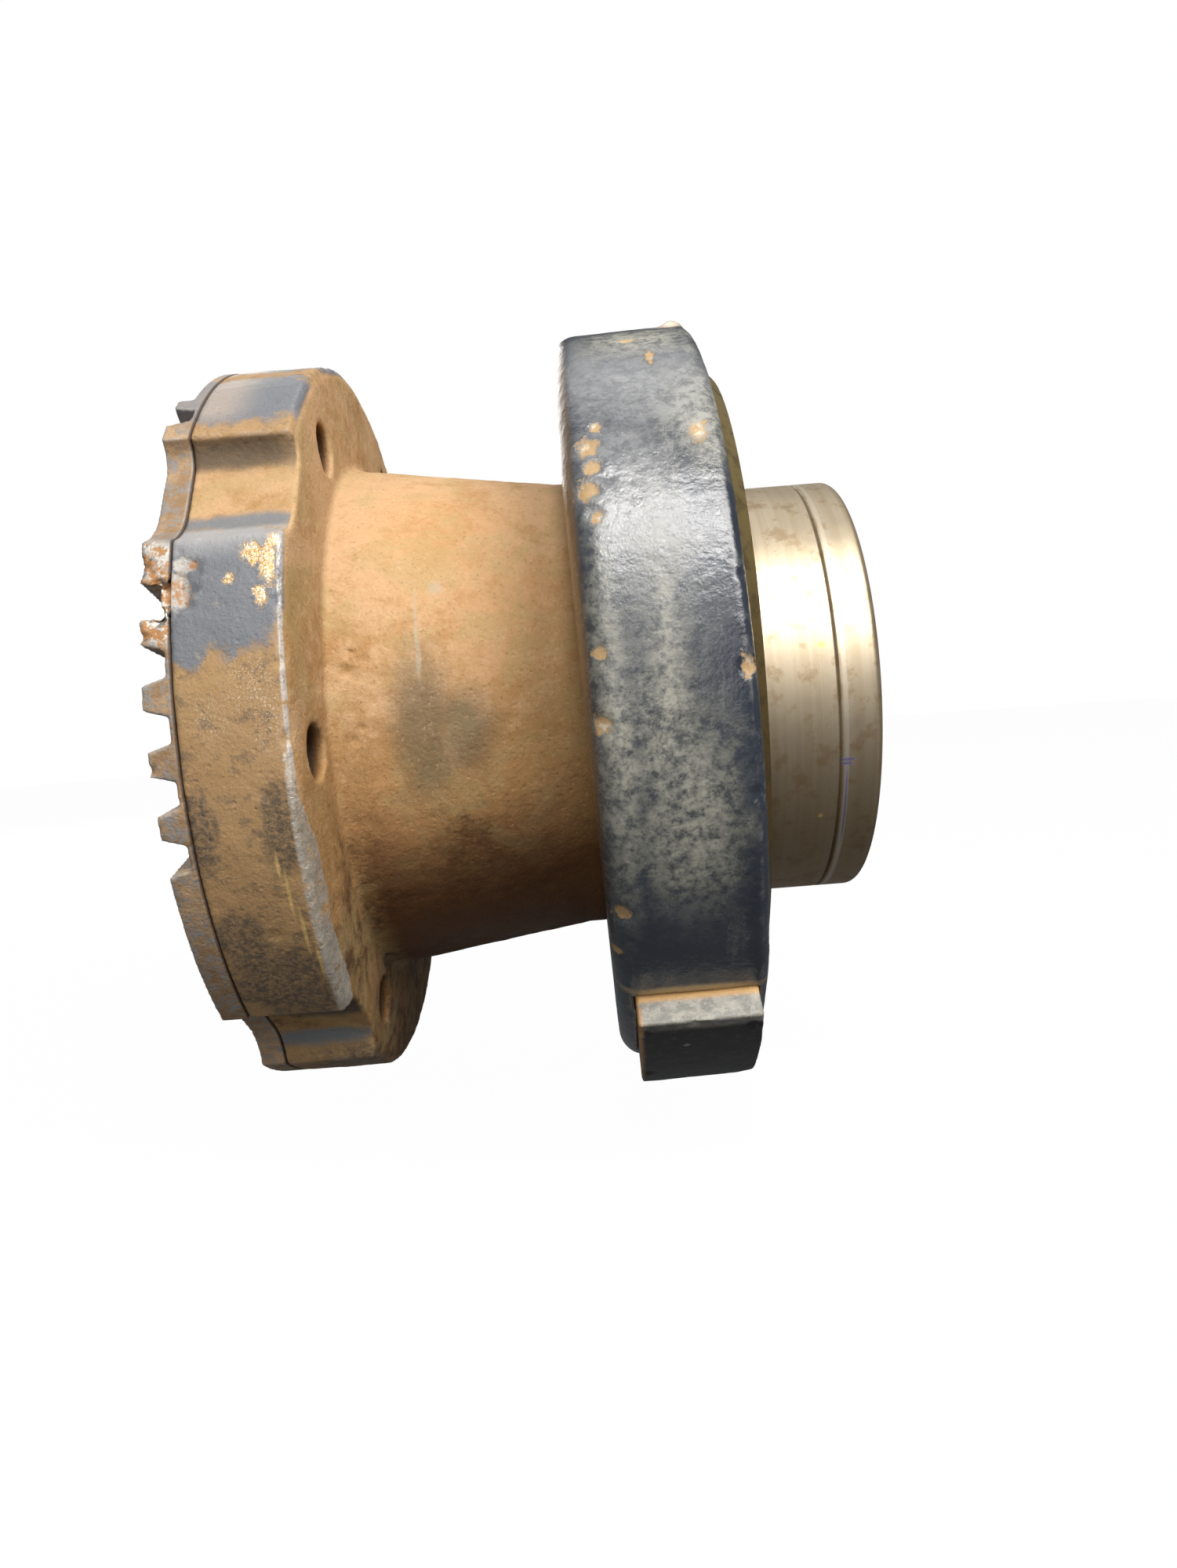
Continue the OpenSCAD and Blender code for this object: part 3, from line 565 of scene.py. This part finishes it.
# %% The rusted casting: paint left on the rim
on_rim = words.times(words.ease(radius, 79.0, 80.5), words.ease(along, 21.4, 20.9))
mid_paint = patches(words, here, ragged, ((10, -19.5, 15, 9.5), (4, -14, 6, 6), (10, -54, 16, 8.5),
                                          (10, -80, 14, 14), (10, 178, 16, 13), (8, -110, 16, 12),
                                          (12, 140, 10, 8)), 0.14, 1.1)
low_paint = patches(words, here, ragged, ((14, 36, 12, 7), (6, 28, 5, 5), (3, 12, 3, 5), (18, 12, 4, 6),
                                          (16, 66, 10, 6), (10, 100, 10, 10)), 0.3, 1.8)
tan_dust = words.use("Dust Streaks", Place=place, Amount=0.45, Streak=0.8)["Mask"]
rim_rust = words.blend(words.ease(blotch, 0.50, 0.62), rgb(0.33, 0.205, 0.095), rgb(0.19, 0.13, 0.075))
rim_rust = words.blend(words.ease(blotch, 0.64, 0.74), rim_rust, rgb(0.055, 0.042, 0.03))
colour = words.blend(words.times(on_rim, 0.85), colour, rim_rust)
old_paint = words.blend(words.times(tan_dust, 0.6), rgb(0.145, 0.152, 0.168), rgb(0.44, 0.35, 0.26))
top_dust = words.times(words.ease(angle, -44.0, -50.0), words.ease(along, 14.0, 5.0))
old_paint = words.blend(words.times(top_dust, 0.6), old_paint, rgb(0.42, 0.34, 0.27))
# Painted highlight: a light grey band on the paint of the upper rim, where the lamp's highlight falls.
upper = words.times(words.ease(angle, -21.0, -26.0), words.ease(angle, -40.0, -30.0))
old_paint = words.blend(words.times(upper, 0.55), old_paint, rgb(0.46, 0.45, 0.44))
mid_paint = words.times(mid_paint, on_rim)
colour = words.blend(mid_paint, colour, old_paint)
low_paint = words.times(low_paint, on_rim)
grit_low = words.noise(place, 0.9, 5.0, 0.8)
low_share = words.times_plus(words.ease(grit_low, 0.40, 0.60), 0.55, 0.25)
colour = words.blend(words.times(low_paint, low_share), colour, rgb(0.05, 0.046, 0.042))
band = patches(words, here, ragged, ((10, -29.5, 15, 1.6), (10, -47.5, 14, 1.4), (10, 150, 15, 1.8),
                                     (10, 57, 14, 1.6), (10, 132.5, 14, 1.6)), 0.5, 1.4)
below_rim = words.ease(radius, 84.4, 83.6)
scallop_floor = words.times(words.ease(radius, 77.0, 78.6), words.ease(along, 21.4, 20.9))
in_scallop = words.times(below_rim, scallop_floor)
colour = words.blend(words.times(band, in_scallop), colour, rgb(0.17, 0.175, 0.18))
# Painted shadow in the scallops, under the overhanging blocks.
scallop_shadow = patches(words, here, ragged, ((9, -41.6, 14, 1.7), (16, 48, 12, 3), (8, 133, 14, 3)), 0.5, 1.2)
scallop_shadow = words.times(scallop_shadow, in_scallop)
colour = words.blend(words.times(scallop_shadow, 0.8), colour, rgb(0.07, 0.055, 0.04))

# %% The rusted casting: chips, ground facet and worn edges
chip = patches(words, here, blotch, ((11.7, -19, 1.0, 0.8), (15.6, -22.4, 1.9, 1.5),
                                     (18.8, -20.5, 1.5, 3.2), (17.6, -16.6, 1.3, 1.5),
                                     (19.6, -24, 1.0, 1.1), (19.0, 178, 1.8, 1.8), (9.0, -82, 1.6, 1.2)),
               0.3, 3.4)
chip = words.times(chip, on_rim)
torn = patches(words, here, blotch, ((1.0, -18.2, 3.4, 3.0), (3.0, -21.5, 2.2, 1.2)), 0.25, 2.2)
edge = words.use("Edge Wear", Place=place, Reach=0.545, Soft=0.03, Break_Up=0.10)
ground = words.put("ShaderNodeAttribute", {}, attribute_name="ground").outputs["Fac"]
ground = words.times(ground, words.ease(blotch, 0.36, 0.50))
outer_rim = words.times(words.ease(radius, 76.0, 80.0), words.ease(along, 20.6, 19.8))
edge_here = words.times(edge["Mask"], outer_rim)
edge_here = words.times(edge_here, 0.5)
sparkle = words.noise(place, 3.2, 2.0, 0.9)
chamfer = words.times(words.ease(radius, 83.2, 83.7), words.ease(angle, 9.0, 3.0))
chamfer = words.times(words.ease(along, 20.1, 20.5), chamfer)
worn_through = words.ease(words.noise(place, 0.35, 5.0, 0.7), 0.34, 0.50)
chamfer = words.times(chamfer, words.times(words.ease(angle, -27.0, -24.0), worn_through))
edge_here = words.most(words.times(edge_here, words.ease(along, 1.8, 3.0)), chamfer)
glint = patches(words, here, ragged, ((15, -5, 5, 3.4), (18, -1, 3, 4), (8, -2, 3, 2.5)), 0.6, 1.6)
glint = words.times(glint, words.ease(sparkle, 0.56, 0.66))
chip_core = words.blend(words.ease(blotch, 0.50, 0.60), rgb(0.48, 0.27, 0.08), rgb(0.58, 0.46, 0.28))
chip_tone = words.blend(words.ease(sparkle, 0.50, 0.62), chip_core, rgb(0.80, 0.77, 0.70))
colour = words.blend(chip, colour, chip_tone)
torn_tone = words.blend(words.ease(blotch, 0.42, 0.54), rgb(0.40, 0.19, 0.06), rgb(0.50, 0.47, 0.43))
colour = words.blend(words.times(torn, 0.8), colour, torn_tone)
colour = words.blend(words.times(glint, 0.75), colour, rgb(0.72, 0.66, 0.54))
colour = words.blend(words.times(edge_here, 0.75), colour, rgb(0.62, 0.60, 0.57))
file_marks = words.ease(words.noise(place, 0.5, 5.0, 0.75), 0.40, 0.62)
filed = words.blend(file_marks, rgb(0.64, 0.58, 0.49), rgb(0.47, 0.42, 0.35))
colour = words.blend(words.times(ground, 0.92), colour, filed)
scratch = patches(words, here, ragged, ((15.6, 17, 0.35, 1.6), (16.6, 21.5, 0.35, 3.4),
                                        (17.8, 27, 0.35, 3.4), (19.2, 32, 0.35, 3.0)), 0.5, 0.8)
colour = words.blend(words.times(scratch, 0.8), colour, rgb(0.52, 0.35, 0.13))

# %% The rusted casting: sheen and relief
grain = words.use("Cast Grain", Place=place, Grain_Size=1.0, Pits=0.35)
colour = words.blend(words.times(grain["Speck"], 0.40), colour, rgb(0.09, 0.055, 0.03))
grit = words.noise(place, 1.1, 4.0, 0.85)
on_neck = words.ease(along, 20.9, 21.6)
dark_grit = words.times(words.ease(grit, 0.57, 0.68), words.times(on_neck, 0.55))
colour = words.blend(dark_grit, colour, rgb(0.13, 0.07, 0.025))
pale_grit = words.times(words.ease(grit, 0.42, 0.33), words.times(on_neck, 0.40))
colour = words.blend(pale_grit, colour, rgb(0.62, 0.44, 0.27))
# Painted shade: the neck is made near black underneath.
underneath_shade = words.times(words.ease(angle, 14.0, 40.0), words.ease(angle, 150.0, 120.0))
underneath_shade = words.times(underneath_shade, words.ease(along, 23.0, 29.0))
colour = words.blend(words.times(underneath_shade, 0.85), colour, rgb(0.085, 0.028, 0.004))
hole = words.put("ShaderNodeAttribute", {}, attribute_name="hole").outputs["Fac"]
# Painted shade: the bolt holes grow darker the deeper they go.
hole_shade = words.blend(words.ease(along, 21.2, 19.4), rgb(0.17, 0.075, 0.02), rgb(0.02, 0.011, 0.005))
colour = words.blend(words.times(hole, 0.95), colour, hole_shade)
painted = words.most(mid_paint, words.times(low_paint, 0.6))
bare = words.most(words.most(chip, ground), words.times(edge_here, 0.8))
rough = words.times_plus(ragged, 0.2, 0.66)
rough = words.less(rough, words.times(painted, 0.36))
rough = words.less(rough, words.times(stain, 0.18))
rough = words.less(rough, words.times(bare, 0.28), clamp=True)
metal = words.times(words.most(bare, glint), 0.55)
height = words.times_plus(blotch, 0.5, grain["Height"])
height = words.less(height, words.times(words.most(chip, torn), 0.5))
height = words.plus(height, words.times(painted, 0.25))
close_finish(rusted_casting, words, colour, rough, metal, height, 0.55, specular=0.35)
body_skin.data.materials.append(rusted_casting)

# %% [markdown]
# ## The dog ring's steel
# The teeth are bare steel that has rusted to brown, polished bright where the teeth have
# rubbed and near white where the corner tore. The ring's lip carries the same old paint as
# the rim beside it, so its patches lie at nearly the same angles as those of the rim.

# %% The dog ring's finish
dog_steel, words, here = start_finish("dog steel")
place, along, angle, radius = here["Place"], here["Along"], here["Angle"], here["Radius"]
ragged = words.noise(place, 0.22, 6.0, 0.7)
blotch = words.noise(place, 0.45, 6.0, 0.75)
rust = words.use("Rust Tones", Place=place, Light=rgb(0.42, 0.28, 0.16), Middle=rgb(0.26, 0.16, 0.08),
                 Dark=rgb(0.07, 0.045, 0.03), Darkness=0.25)
colour = words.blend(words.ease(blotch, 0.46, 0.6), rust["Color"], rgb(0.24, 0.22, 0.20))
paint = patches(words, here, ragged, ((0, -21, 6, 6), (0, -54, 6, 8), (0, -80, 6, 14), (0, 178, 6, 13)),
                0.2, 1.2)
colour = words.blend(words.times(paint, 0.75), colour, rgb(0.20, 0.205, 0.22))
torn = patches(words, here, blotch, ((-1, -17, 4.5, 4.0), (-2, -23, 3.5, 2.6), (-1, -13.5, 3, 2.5)), 0.3, 1.6)
edge = words.use("Edge Wear", Place=place, Reach=0.535, Soft=0.03, Break_Up=0.06)
at_seam = words.times(words.ease(along, -0.6, -0.2), words.ease(radius, 82.5, 83.2))
worn_edge = words.times(edge["Mask"], words.times_plus(at_seam, -0.6, 0.6))
shiny = words.most(worn_edge, words.times(torn, words.ease(blotch, 0.40, 0.55)))
colour = words.blend(shiny, colour, rgb(0.48, 0.46, 0.42))
colour = words.blend(words.times(torn, words.ease(blotch, 0.56, 0.45)), colour, rgb(0.38, 0.19, 0.07))
# Painted shade where the ring meets the body: its face is made near black past the seam.
colour = words.blend(words.times(words.ease(along, 0.55, 0.85), 0.8), colour, rgb(0.06, 0.04, 0.03))
colour = words.blend(words.times(edge["Hollow"], 0.7), colour, rgb(0.13, 0.07, 0.03))
grain = words.use("Cast Grain", Place=place, Grain_Size=0.7, Pits=0.3)
rough = words.less(0.68, words.times(shiny, 0.28))
metal = words.times_plus(shiny, 0.5, 0.15)
height = words.times_plus(blotch, 0.4, grain["Height"])
close_finish(dog_steel, words, colour, rough, metal, height, 0.45)
dog_skin.data.materials.append(dog_steel)

# %% [markdown]
# ## Black enamel under dust
# The ring's enamel is blue-black and still glossy, so it throws a broken, sparkling
# highlight. Grey-tan dust lies over it in bands that follow the rim. The chips along the
# rear corner show tan primer and metal, and the front edge is rubbed bright.

# %% The enamel's finish
black_enamel, words, here = start_finish("black enamel")
place, along, angle, radius = here["Place"], here["Along"], here["Angle"], here["Radius"]
ragged = words.noise(place, 0.20, 6.0, 0.7)
blotch = words.noise(place, 0.42, 6.0, 0.75)
enamel = words.blend(words.noise(place, 0.05, 3.0), rgb(0.010, 0.013, 0.020), rgb(0.030, 0.038, 0.055))
dust = words.use("Dust Streaks", Place=place, Amount=0.50, Streak=0.22)["Mask"]
dusty = patches(words, here, ragged, ((88, -2, 6.5, 20), (91, 14, 8, 13), (79, 2, 3.5, 22),
                                      (90, -60, 10, 6), (99, -38, 6, 8), (90, 100, 14, 16),
                                      (86, 160, 12, 20), (88, -120, 14, 22)), 0.8, 1.5)
dust = words.times(dust, 0.50)
dusty_share = words.times_plus(words.ease(blotch, 0.36, 0.62), 0.62, 0.12)
dust = words.most(dust, words.times(dusty, dusty_share))
colour = words.blend(dust, enamel, rgb(0.36, 0.35, 0.28))
clean = patches(words, here, ragged, ((89, 34, 16, 8), (96, -8, 5, 12), (84, -10, 3.5, 9)), 0.8, 1.2)
colour = words.blend(words.times(clean, 0.65), colour, enamel)
sheen = patches(words, here, ragged, ((89, -43, 14, 9), (84, -30, 9, 9)), 0.9, 1.2)
sheen_share = words.times_plus(words.ease(blotch, 0.38, 0.60), 0.35, 0.35)
colour = words.blend(words.times(sheen, sheen_share), colour, rgb(0.26, 0.265, 0.27))

# %% The enamel's chips and rubbed edges
chip = patches(words, here, blotch, ((77.8, -33, 1.8, 1.3), (78.4, -29.8, 1.2, 0.9),
                                     (77.2, -26.5, 1.9, 1.3), (78.6, -22.5, 1.1, 0.9),
                                     (79.6, -36.5, 1.0, 0.8), (76.7, 2.5, 1.5, 1.0), (77.0, -6, 1.1, 0.7),
                                     (77.6, 27, 1.5, 0.9), (76.1, 34, 1.0, 0.6), (98.6, -34.2, 1.6, 1.8),
                                     (102.8, -3, 1.0, 1.5), (88, -60, 1.8, 1.0), (92, -52, 0.8, 1.8),
                                     (77.2, 96, 1.8, 1.2), (78.4, 132, 1.5, 1.1), (102.2, 150, 1.5, 1.2),
                                     (77.6, -120, 1.8, 1.3)), 0.3, 4.2)
edge = words.use("Edge Wear", Place=place, Reach=0.545, Soft=0.03, Break_Up=0.08)
rubbed = words.times(edge["Mask"], words.ease(radius, 78.0, 80.0))
knob = patches(words, here, blotch, ((98, -71, 3.5, 3.0),), 0.4, 1.0)
colour = words.blend(words.times(rubbed, 0.7), colour, rgb(0.50, 0.48, 0.44))
chip_tone = words.blend(words.ease(blotch, 0.50, 0.60), rgb(0.40, 0.25, 0.10), rgb(0.62, 0.55, 0.43))
colour = words.blend(words.times(chip, 0.85), colour, chip_tone)
colour = words.blend(words.times(knob, 0.8), colour, rgb(0.66, 0.55, 0.42))
caught = patches(words, here, blotch, ((90.5, 41.7, 13.0, 1.0),), 0.5, 0.8)
colour = words.blend(words.times(caught, 0.85), colour, rgb(0.46, 0.34, 0.17))
rear_face = words.ease(along, 75.4, 73.9)
colour = words.blend(words.times(rear_face, 0.75), colour, rgb(0.16, 0.10, 0.05))
grain = words.use("Cast Grain", Place=place, Grain_Size=0.9, Pits=0.25)
matt = words.most(words.most(dust, chip), words.times(rubbed, 0.5))
rough = words.times_plus(ragged, 0.14, 0.12)
rough = words.times_plus(matt, 0.45, rough, clamp=True)
waves = words.noise(place, 0.45, 4.0, 0.55)
height = words.times_plus(waves, 0.9, words.times(grain["Height"], 0.5))
height = words.less(height, words.times(chip, 0.6))
close_finish(black_enamel, words, colour, rough, words.times(rubbed, 0.4), height, 0.40, specular=0.8)
ring_skin.data.materials.append(black_enamel)

# %% The lug's finish, with dust caught at its root
lug_enamel, words, here = start_finish("lug enamel")
place, along, angle, radius = here["Place"], here["Along"], here["Angle"], here["Radius"]
blotch = words.noise(place, 0.42, 6.0, 0.75)
top_face = words.times(words.ease(angle, 44.6, 43.4), words.ease(radius, 93.9, 93.0))
root = words.times(words.ease(radius, 89.0, 87.6), words.ease(angle, 46.0, 44.0))
edge = words.use("Edge Wear", Place=place, Reach=0.56, Soft=0.04, Break_Up=0.08)
colour = words.blend(words.ease(blotch, 0.5, 0.66), rgb(0.018, 0.018, 0.018), rgb(0.06, 0.052, 0.04))
top_tone = words.blend(words.ease(blotch, 0.42, 0.6), rgb(0.20, 0.195, 0.175), rgb(0.34, 0.32, 0.28))
colour = words.blend(top_face, colour, top_tone)
colour = words.blend(words.times(root, 0.9), colour, rgb(0.56, 0.33, 0.12))
colour = words.blend(words.times(edge["Mask"], 0.5), colour, rgb(0.42, 0.36, 0.27))
side_dust = words.times(words.ease(along, 80.6, 79.2), words.ease(blotch, 0.32, 0.50))
colour = words.blend(words.times(side_dust, 0.85), colour, rgb(0.44, 0.25, 0.09))
grain = words.use("Cast Grain", Place=place, Grain_Size=0.8, Pits=0.2)
rough = words.times_plus(blotch, 0.3, 0.28)
height = words.times_plus(blotch, 0.5, grain["Height"])
close_finish(lug_enamel, words, colour, rough, 0.0, height, 0.45)
lug_skin.data.materials.append(lug_enamel)

# %% [markdown]
# ## The oily cover plate
# The cover is machined steel under a film of old oil. It is painted olive gold on top and
# brown-black lower down, as painted light and shade. Turning lines run round it, and dirt
# gathers against the nose.

# %% The cover plate's finish
def wear(node, finish):
    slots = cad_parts[node].material_slots
    for slot in slots:
        slot.material = finish
    if not slots:
        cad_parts[node].data.materials.append(finish)

oiled_cover, words, here = start_finish("oiled cover")
place, angle, radius = here["Place"], here["Angle"], here["Radius"]
blotch = words.noise(place, 0.25, 6.0, 0.7)
# Painted light and shade: lighter on top, darker lower down.
low = words.ease(angle, -45.0, 20.0)
colour = words.blend(low, rgb(0.20, 0.15, 0.06), rgb(0.10, 0.065, 0.02))
colour = words.blend(words.times(words.ease(blotch, 0.48, 0.62), 0.7), colour, rgb(0.07, 0.05, 0.02))
colour = words.blend(words.times(words.ease(radius, 52.5, 50.5), 0.7), colour, rgb(0.05, 0.035, 0.015))
round_place = words.put("ShaderNodeCombineXYZ", {0: radius, 1: words.times(angle, 0.004)}).outputs[0]
rings = words.noise(round_place, 3.0, 3.0, 0.7)
rough = words.times_plus(blotch, 0.3, 0.26)
close_finish(oiled_cover, words, colour, rough, 0.55, words.times_plus(rings, 0.5, blotch), 0.25)
wear("cover_plate", oiled_cover)

# %% [markdown]
# ## The polished nose
# The nose is ground steel with a brown tint from dried coolant. Grinding lines run round it,
# so highlights stretch into bright bands along the axis. A marker pen has left a thin blue
# line with a small cross near the seam, and two specks of brass show on the sleeve. Its colour
# is painted darker towards the bottom as painted shade, and lighter in two rings at the collar
# and the seam as painted highlights.

# %% The nose's finish, shared by sleeve and cap
def polished(name, marked):
    finish, words, here = start_finish(name)
    place, along, angle, radius = here["Place"], here["Along"], here["Angle"], here["Radius"]
    blotch = words.noise(place, 0.20, 6.0, 0.65)
    lines = words.use("Tool Lines", Place=place, Lines_Per_MM=2.4, Waver=0.02)
    tinted = words.blend(words.ease(lines["Tint"], 0.38, 0.62), rgb(0.50, 0.41, 0.285),
                         rgb(0.55, 0.465, 0.34))
    tinted = words.blend(words.times(words.ease(blotch, 0.50, 0.66), 0.6), tinted, rgb(0.30, 0.20, 0.10))
    # Painted shade: the steel is made darker towards the bottom.
    below = words.ease(angle, -5.0, 45.0)
    tinted = words.blend(words.times(below, 0.6), tinted, rgb(0.26, 0.16, 0.07))
    # Painted highlights: two lighter rings at the collar and at the seam.
    rear_band = words.ease(words.sum("ABSOLUTE", words.less(along, 108.4)), 1.0, 0.6)
    seam_band = words.ease(words.sum("ABSOLUTE", words.less(along, seam_x + 1.4)), 0.7, 0.3)
    bright = words.most(rear_band, seam_band)
    tinted = words.blend(words.times(bright, 0.6), tinted, rgb(0.70, 0.64, 0.53))
    groove = words.ease(radius, nose_r - 0.05, nose_r - 0.3)
    dirt = words.times(groove, words.ease(radius, nose_r - 1.2, nose_r - 0.9))
    tinted = words.blend(words.times(dirt, 0.75), tinted, rgb(0.06, 0.04, 0.02))
    metal = words.less(0.92, words.times(dirt, 0.6))
    if marked:
        pen = patches(words, here, blotch, ((128.0, 31, 0.28, 13),), 0.35, 0.2)
        cross = patches(words, here, blotch, ((128.2, 18.4, 1.7, 0.5), (128.0, 19.4, 1.3, 0.5)), 0.4, 0.3)
        pen = words.most(pen, cross)
        tinted = words.blend(words.times(pen, 0.8), tinted, rgb(0.03, 0.03, 0.16))
        metal = words.less(metal, words.times(pen, 0.7))
    else:
        speck = patches(words, here, blotch, ((123.6, -10, 0.7, 0.7), (122.8, 34, 0.5, 0.6)), 0.3, 1.0)
        tinted = words.blend(speck, tinted, rgb(0.75, 0.55, 0.18))
    rough = words.times_plus(blotch, 0.22, 0.35)
    close_finish(finish, words, tinted, rough, metal, lines["Height"], 0.05)
    return finish

wear("nose_sleeve", polished("polished sleeve", False))
wear("nose_cap", polished("polished cap", True))

# %% [markdown]
# ## The steel that is mostly hidden
# Jaws, cam plate and drive pins are hardened and oiled, pads are ground bright, and the
# screws are black oxide. One recipe serves them, the bronze washers and the felt seal, each
# with its own two tones and its own gloss.

# %% Hidden steel, bronze and felt
def plain_finish(name, light, dark, roughness, metallic, bump=0.2):
    finish, words, here = start_finish(name)
    blotch = words.noise(here["Place"], 0.35, 6.0, 0.7)
    lines = words.use("Tool Lines", Place=here["Place"], Lines_Per_MM=1.5, Waver=0.3)
    colour = words.blend(words.ease(blotch, 0.42, 0.62), light, dark)
    rough = words.times_plus(blotch, 0.2, roughness)
    height = words.times_plus(lines["Height"], 0.5, blotch)
    return close_finish(finish, words, colour, rough, metallic, height, bump)

hardened = plain_finish("hardened steel", rgb(0.30, 0.27, 0.23), rgb(0.16, 0.12, 0.08), 0.30, 0.85)
pad_steel = plain_finish("pad steel", rgb(0.52, 0.49, 0.44), rgb(0.34, 0.28, 0.21), 0.26, 0.9)
fastener = plain_finish("fastener steel", rgb(0.12, 0.11, 0.10), rgb(0.20, 0.12, 0.06), 0.38, 0.7)
bronze = plain_finish("bronze", rgb(0.55, 0.36, 0.14), rgb(0.30, 0.18, 0.07), 0.32, 0.85)
felt = plain_finish("felt seal", rgb(0.07, 0.055, 0.04), rgb(0.03, 0.024, 0.018), 0.75, 0.0, 0.6)
wear("dust_seal", felt)
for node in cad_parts:
    if "screws" in node or "dowels" in node:
        wear(node, fastener)
    elif "thrust" in node:
        wear(node, bronze)
    elif node.startswith("jaw_pad"):
        wear(node, pad_steel)
    elif node.startswith("jaw_") or node.startswith("drive_pin") or node == "cam_plate":
        wear(node, hardened)

# %% [markdown]
# ## Floor, light and camera
# A pale floor and a white room keep the eye on the metal. The key is a large soft lamp above,
# on the viewer's side, and gives the broad highlight. The spark is a small lamp that adds a
# narrow, brighter one. Weak lamps from the top, the front and the rear, and a weak room
# light, fill the shadows, so the underside still falls into deep brown. The camera stands
# close by at the height of the axis and looks a little downwards.

# %% The pale floor
floor_gap = 0.012
floor_r = 3.0
steps = 64
floor_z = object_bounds()[0].z - floor_gap
floor_mesh = bpy.data.meshes.new("floor")
turns = [i * math.tau / steps for i in range(steps)]
rim_points = [(floor_r * math.cos(a), floor_r * math.sin(a), floor_z) for a in turns]
floor_mesh.from_pydata(rim_points, [], [list(range(steps))])
floor = bpy.data.objects.new("floor", floor_mesh)
bpy.context.scene.collection.objects.link(floor)
pale = bpy.data.materials.new("pale floor")
pale.use_nodes = True
pale.node_tree.nodes.clear()
words = Words(pale.node_tree)
seen = words.put("ShaderNodeLightPath", {}).outputs["Is Camera Ray"]
paper = words.put("ShaderNodeBsdfPrincipled", {"Base Color": rgb(0.80, 0.80, 0.80), "Roughness": 0.9,
                                               "Specular IOR Level": 0.1})
glow = words.put("ShaderNodeEmission", {"Color": rgb(1, 1, 1), "Strength": 1.0})
glow_share = words.times(seen, 0.98)
share = words.put("ShaderNodeMixShader", {0: glow_share, 1: paper.outputs[0], 2: glow.outputs[0]})
words.put("ShaderNodeOutputMaterial", {"Surface": share.outputs[0]})
floor_mesh.materials.append(pale)
floor.visible_diffuse = False
floor.visible_glossy = False
floor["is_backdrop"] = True
print("floor at", round(floor_z / MM, 1), "mm")

# %% The white room
world = bpy.data.worlds.new("white room")
bpy.context.scene.world = world
world.use_nodes = True
world.node_tree.nodes.clear()
words = Words(world.node_tree)
seen = words.put("ShaderNodeLightPath", {}).outputs["Is Camera Ray"]
room = words.put("ShaderNodeBackground", {"Color": rgb(0.95, 0.97, 1.0), "Strength": 0.15})
white = words.put("ShaderNodeBackground", {"Color": rgb(1, 1, 1), "Strength": 1.0})
both = words.put("ShaderNodeMixShader", {0: seen, 1: room.outputs[0], 2: white.outputs[0]})
words.put("ShaderNodeOutputWorld", {"Surface": both.outputs[0]})
bpy.context.scene.view_settings.view_transform = "Standard"

# %% Soft lamps
warm_white = (1.0, 0.98, 0.95)
middle = (Vector(cad_box[0]) + Vector(cad_box[1])) / 2

def soft_lamp(name, towards, far, size, watts):
    lamp = bpy.data.lights.new(name, "AREA")
    lamp.shape = "DISK"
    lamp.size = size
    lamp.energy = watts
    lamp.color = warm_white
    holder = bpy.data.objects.new(name, lamp)
    bpy.context.scene.collection.objects.link(holder)
    way = Vector(towards).normalized()
    holder.location = middle + way * far
    holder.rotation_euler = way.to_track_quat("Z", "Y").to_euler()
    print(name, "lamp,", watts, "W")

soft_lamp("key", (0.50, -0.60, 0.66), 0.9, 0.6, 9.2)
soft_lamp("spark", (0.05, -0.68, 0.74), 0.8, 0.14, 3.5)
soft_lamp("top", (-0.1, 0.3, 1.0), 1.0, 0.8, 2.0)
soft_lamp("fill", (-0.2, -1.0, 0.25), 1.2, 0.8, 4.0)
soft_lamp("rear", (-0.45, 1.0, 0.40), 1.2, 0.8, 6.0)

# %% The camera
camera_place = (0.0748, -0.2762, 0.0)
camera_tilt = (85.81, 4.51, 0.13)
camera_data = bpy.data.cameras.new("camera")
camera_data.sensor_width = 36.0
camera_data.lens = 24.82
camera_data.clip_start = 0.01
camera = bpy.data.objects.new("camera", camera_data)
bpy.context.scene.collection.objects.link(camera)
camera.location = camera_place
camera.rotation_euler = [math.radians(a) for a in camera_tilt]
bpy.context.scene.camera = camera

# %% [markdown]
# ## Closing the frame
# The dressed chuck must keep the exact model's size, so both boxes are written down
# before the frame is closed.

# %% Sizes, and the end
looks_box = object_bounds()
above = [round((b - a) / MM, 2) for a, b in zip(cad_box[1], looks_box[1])]
below = [round((a - b) / MM, 2) for a, b in zip(cad_box[0], looks_box[0])]
print("grown by mm:", above, below)
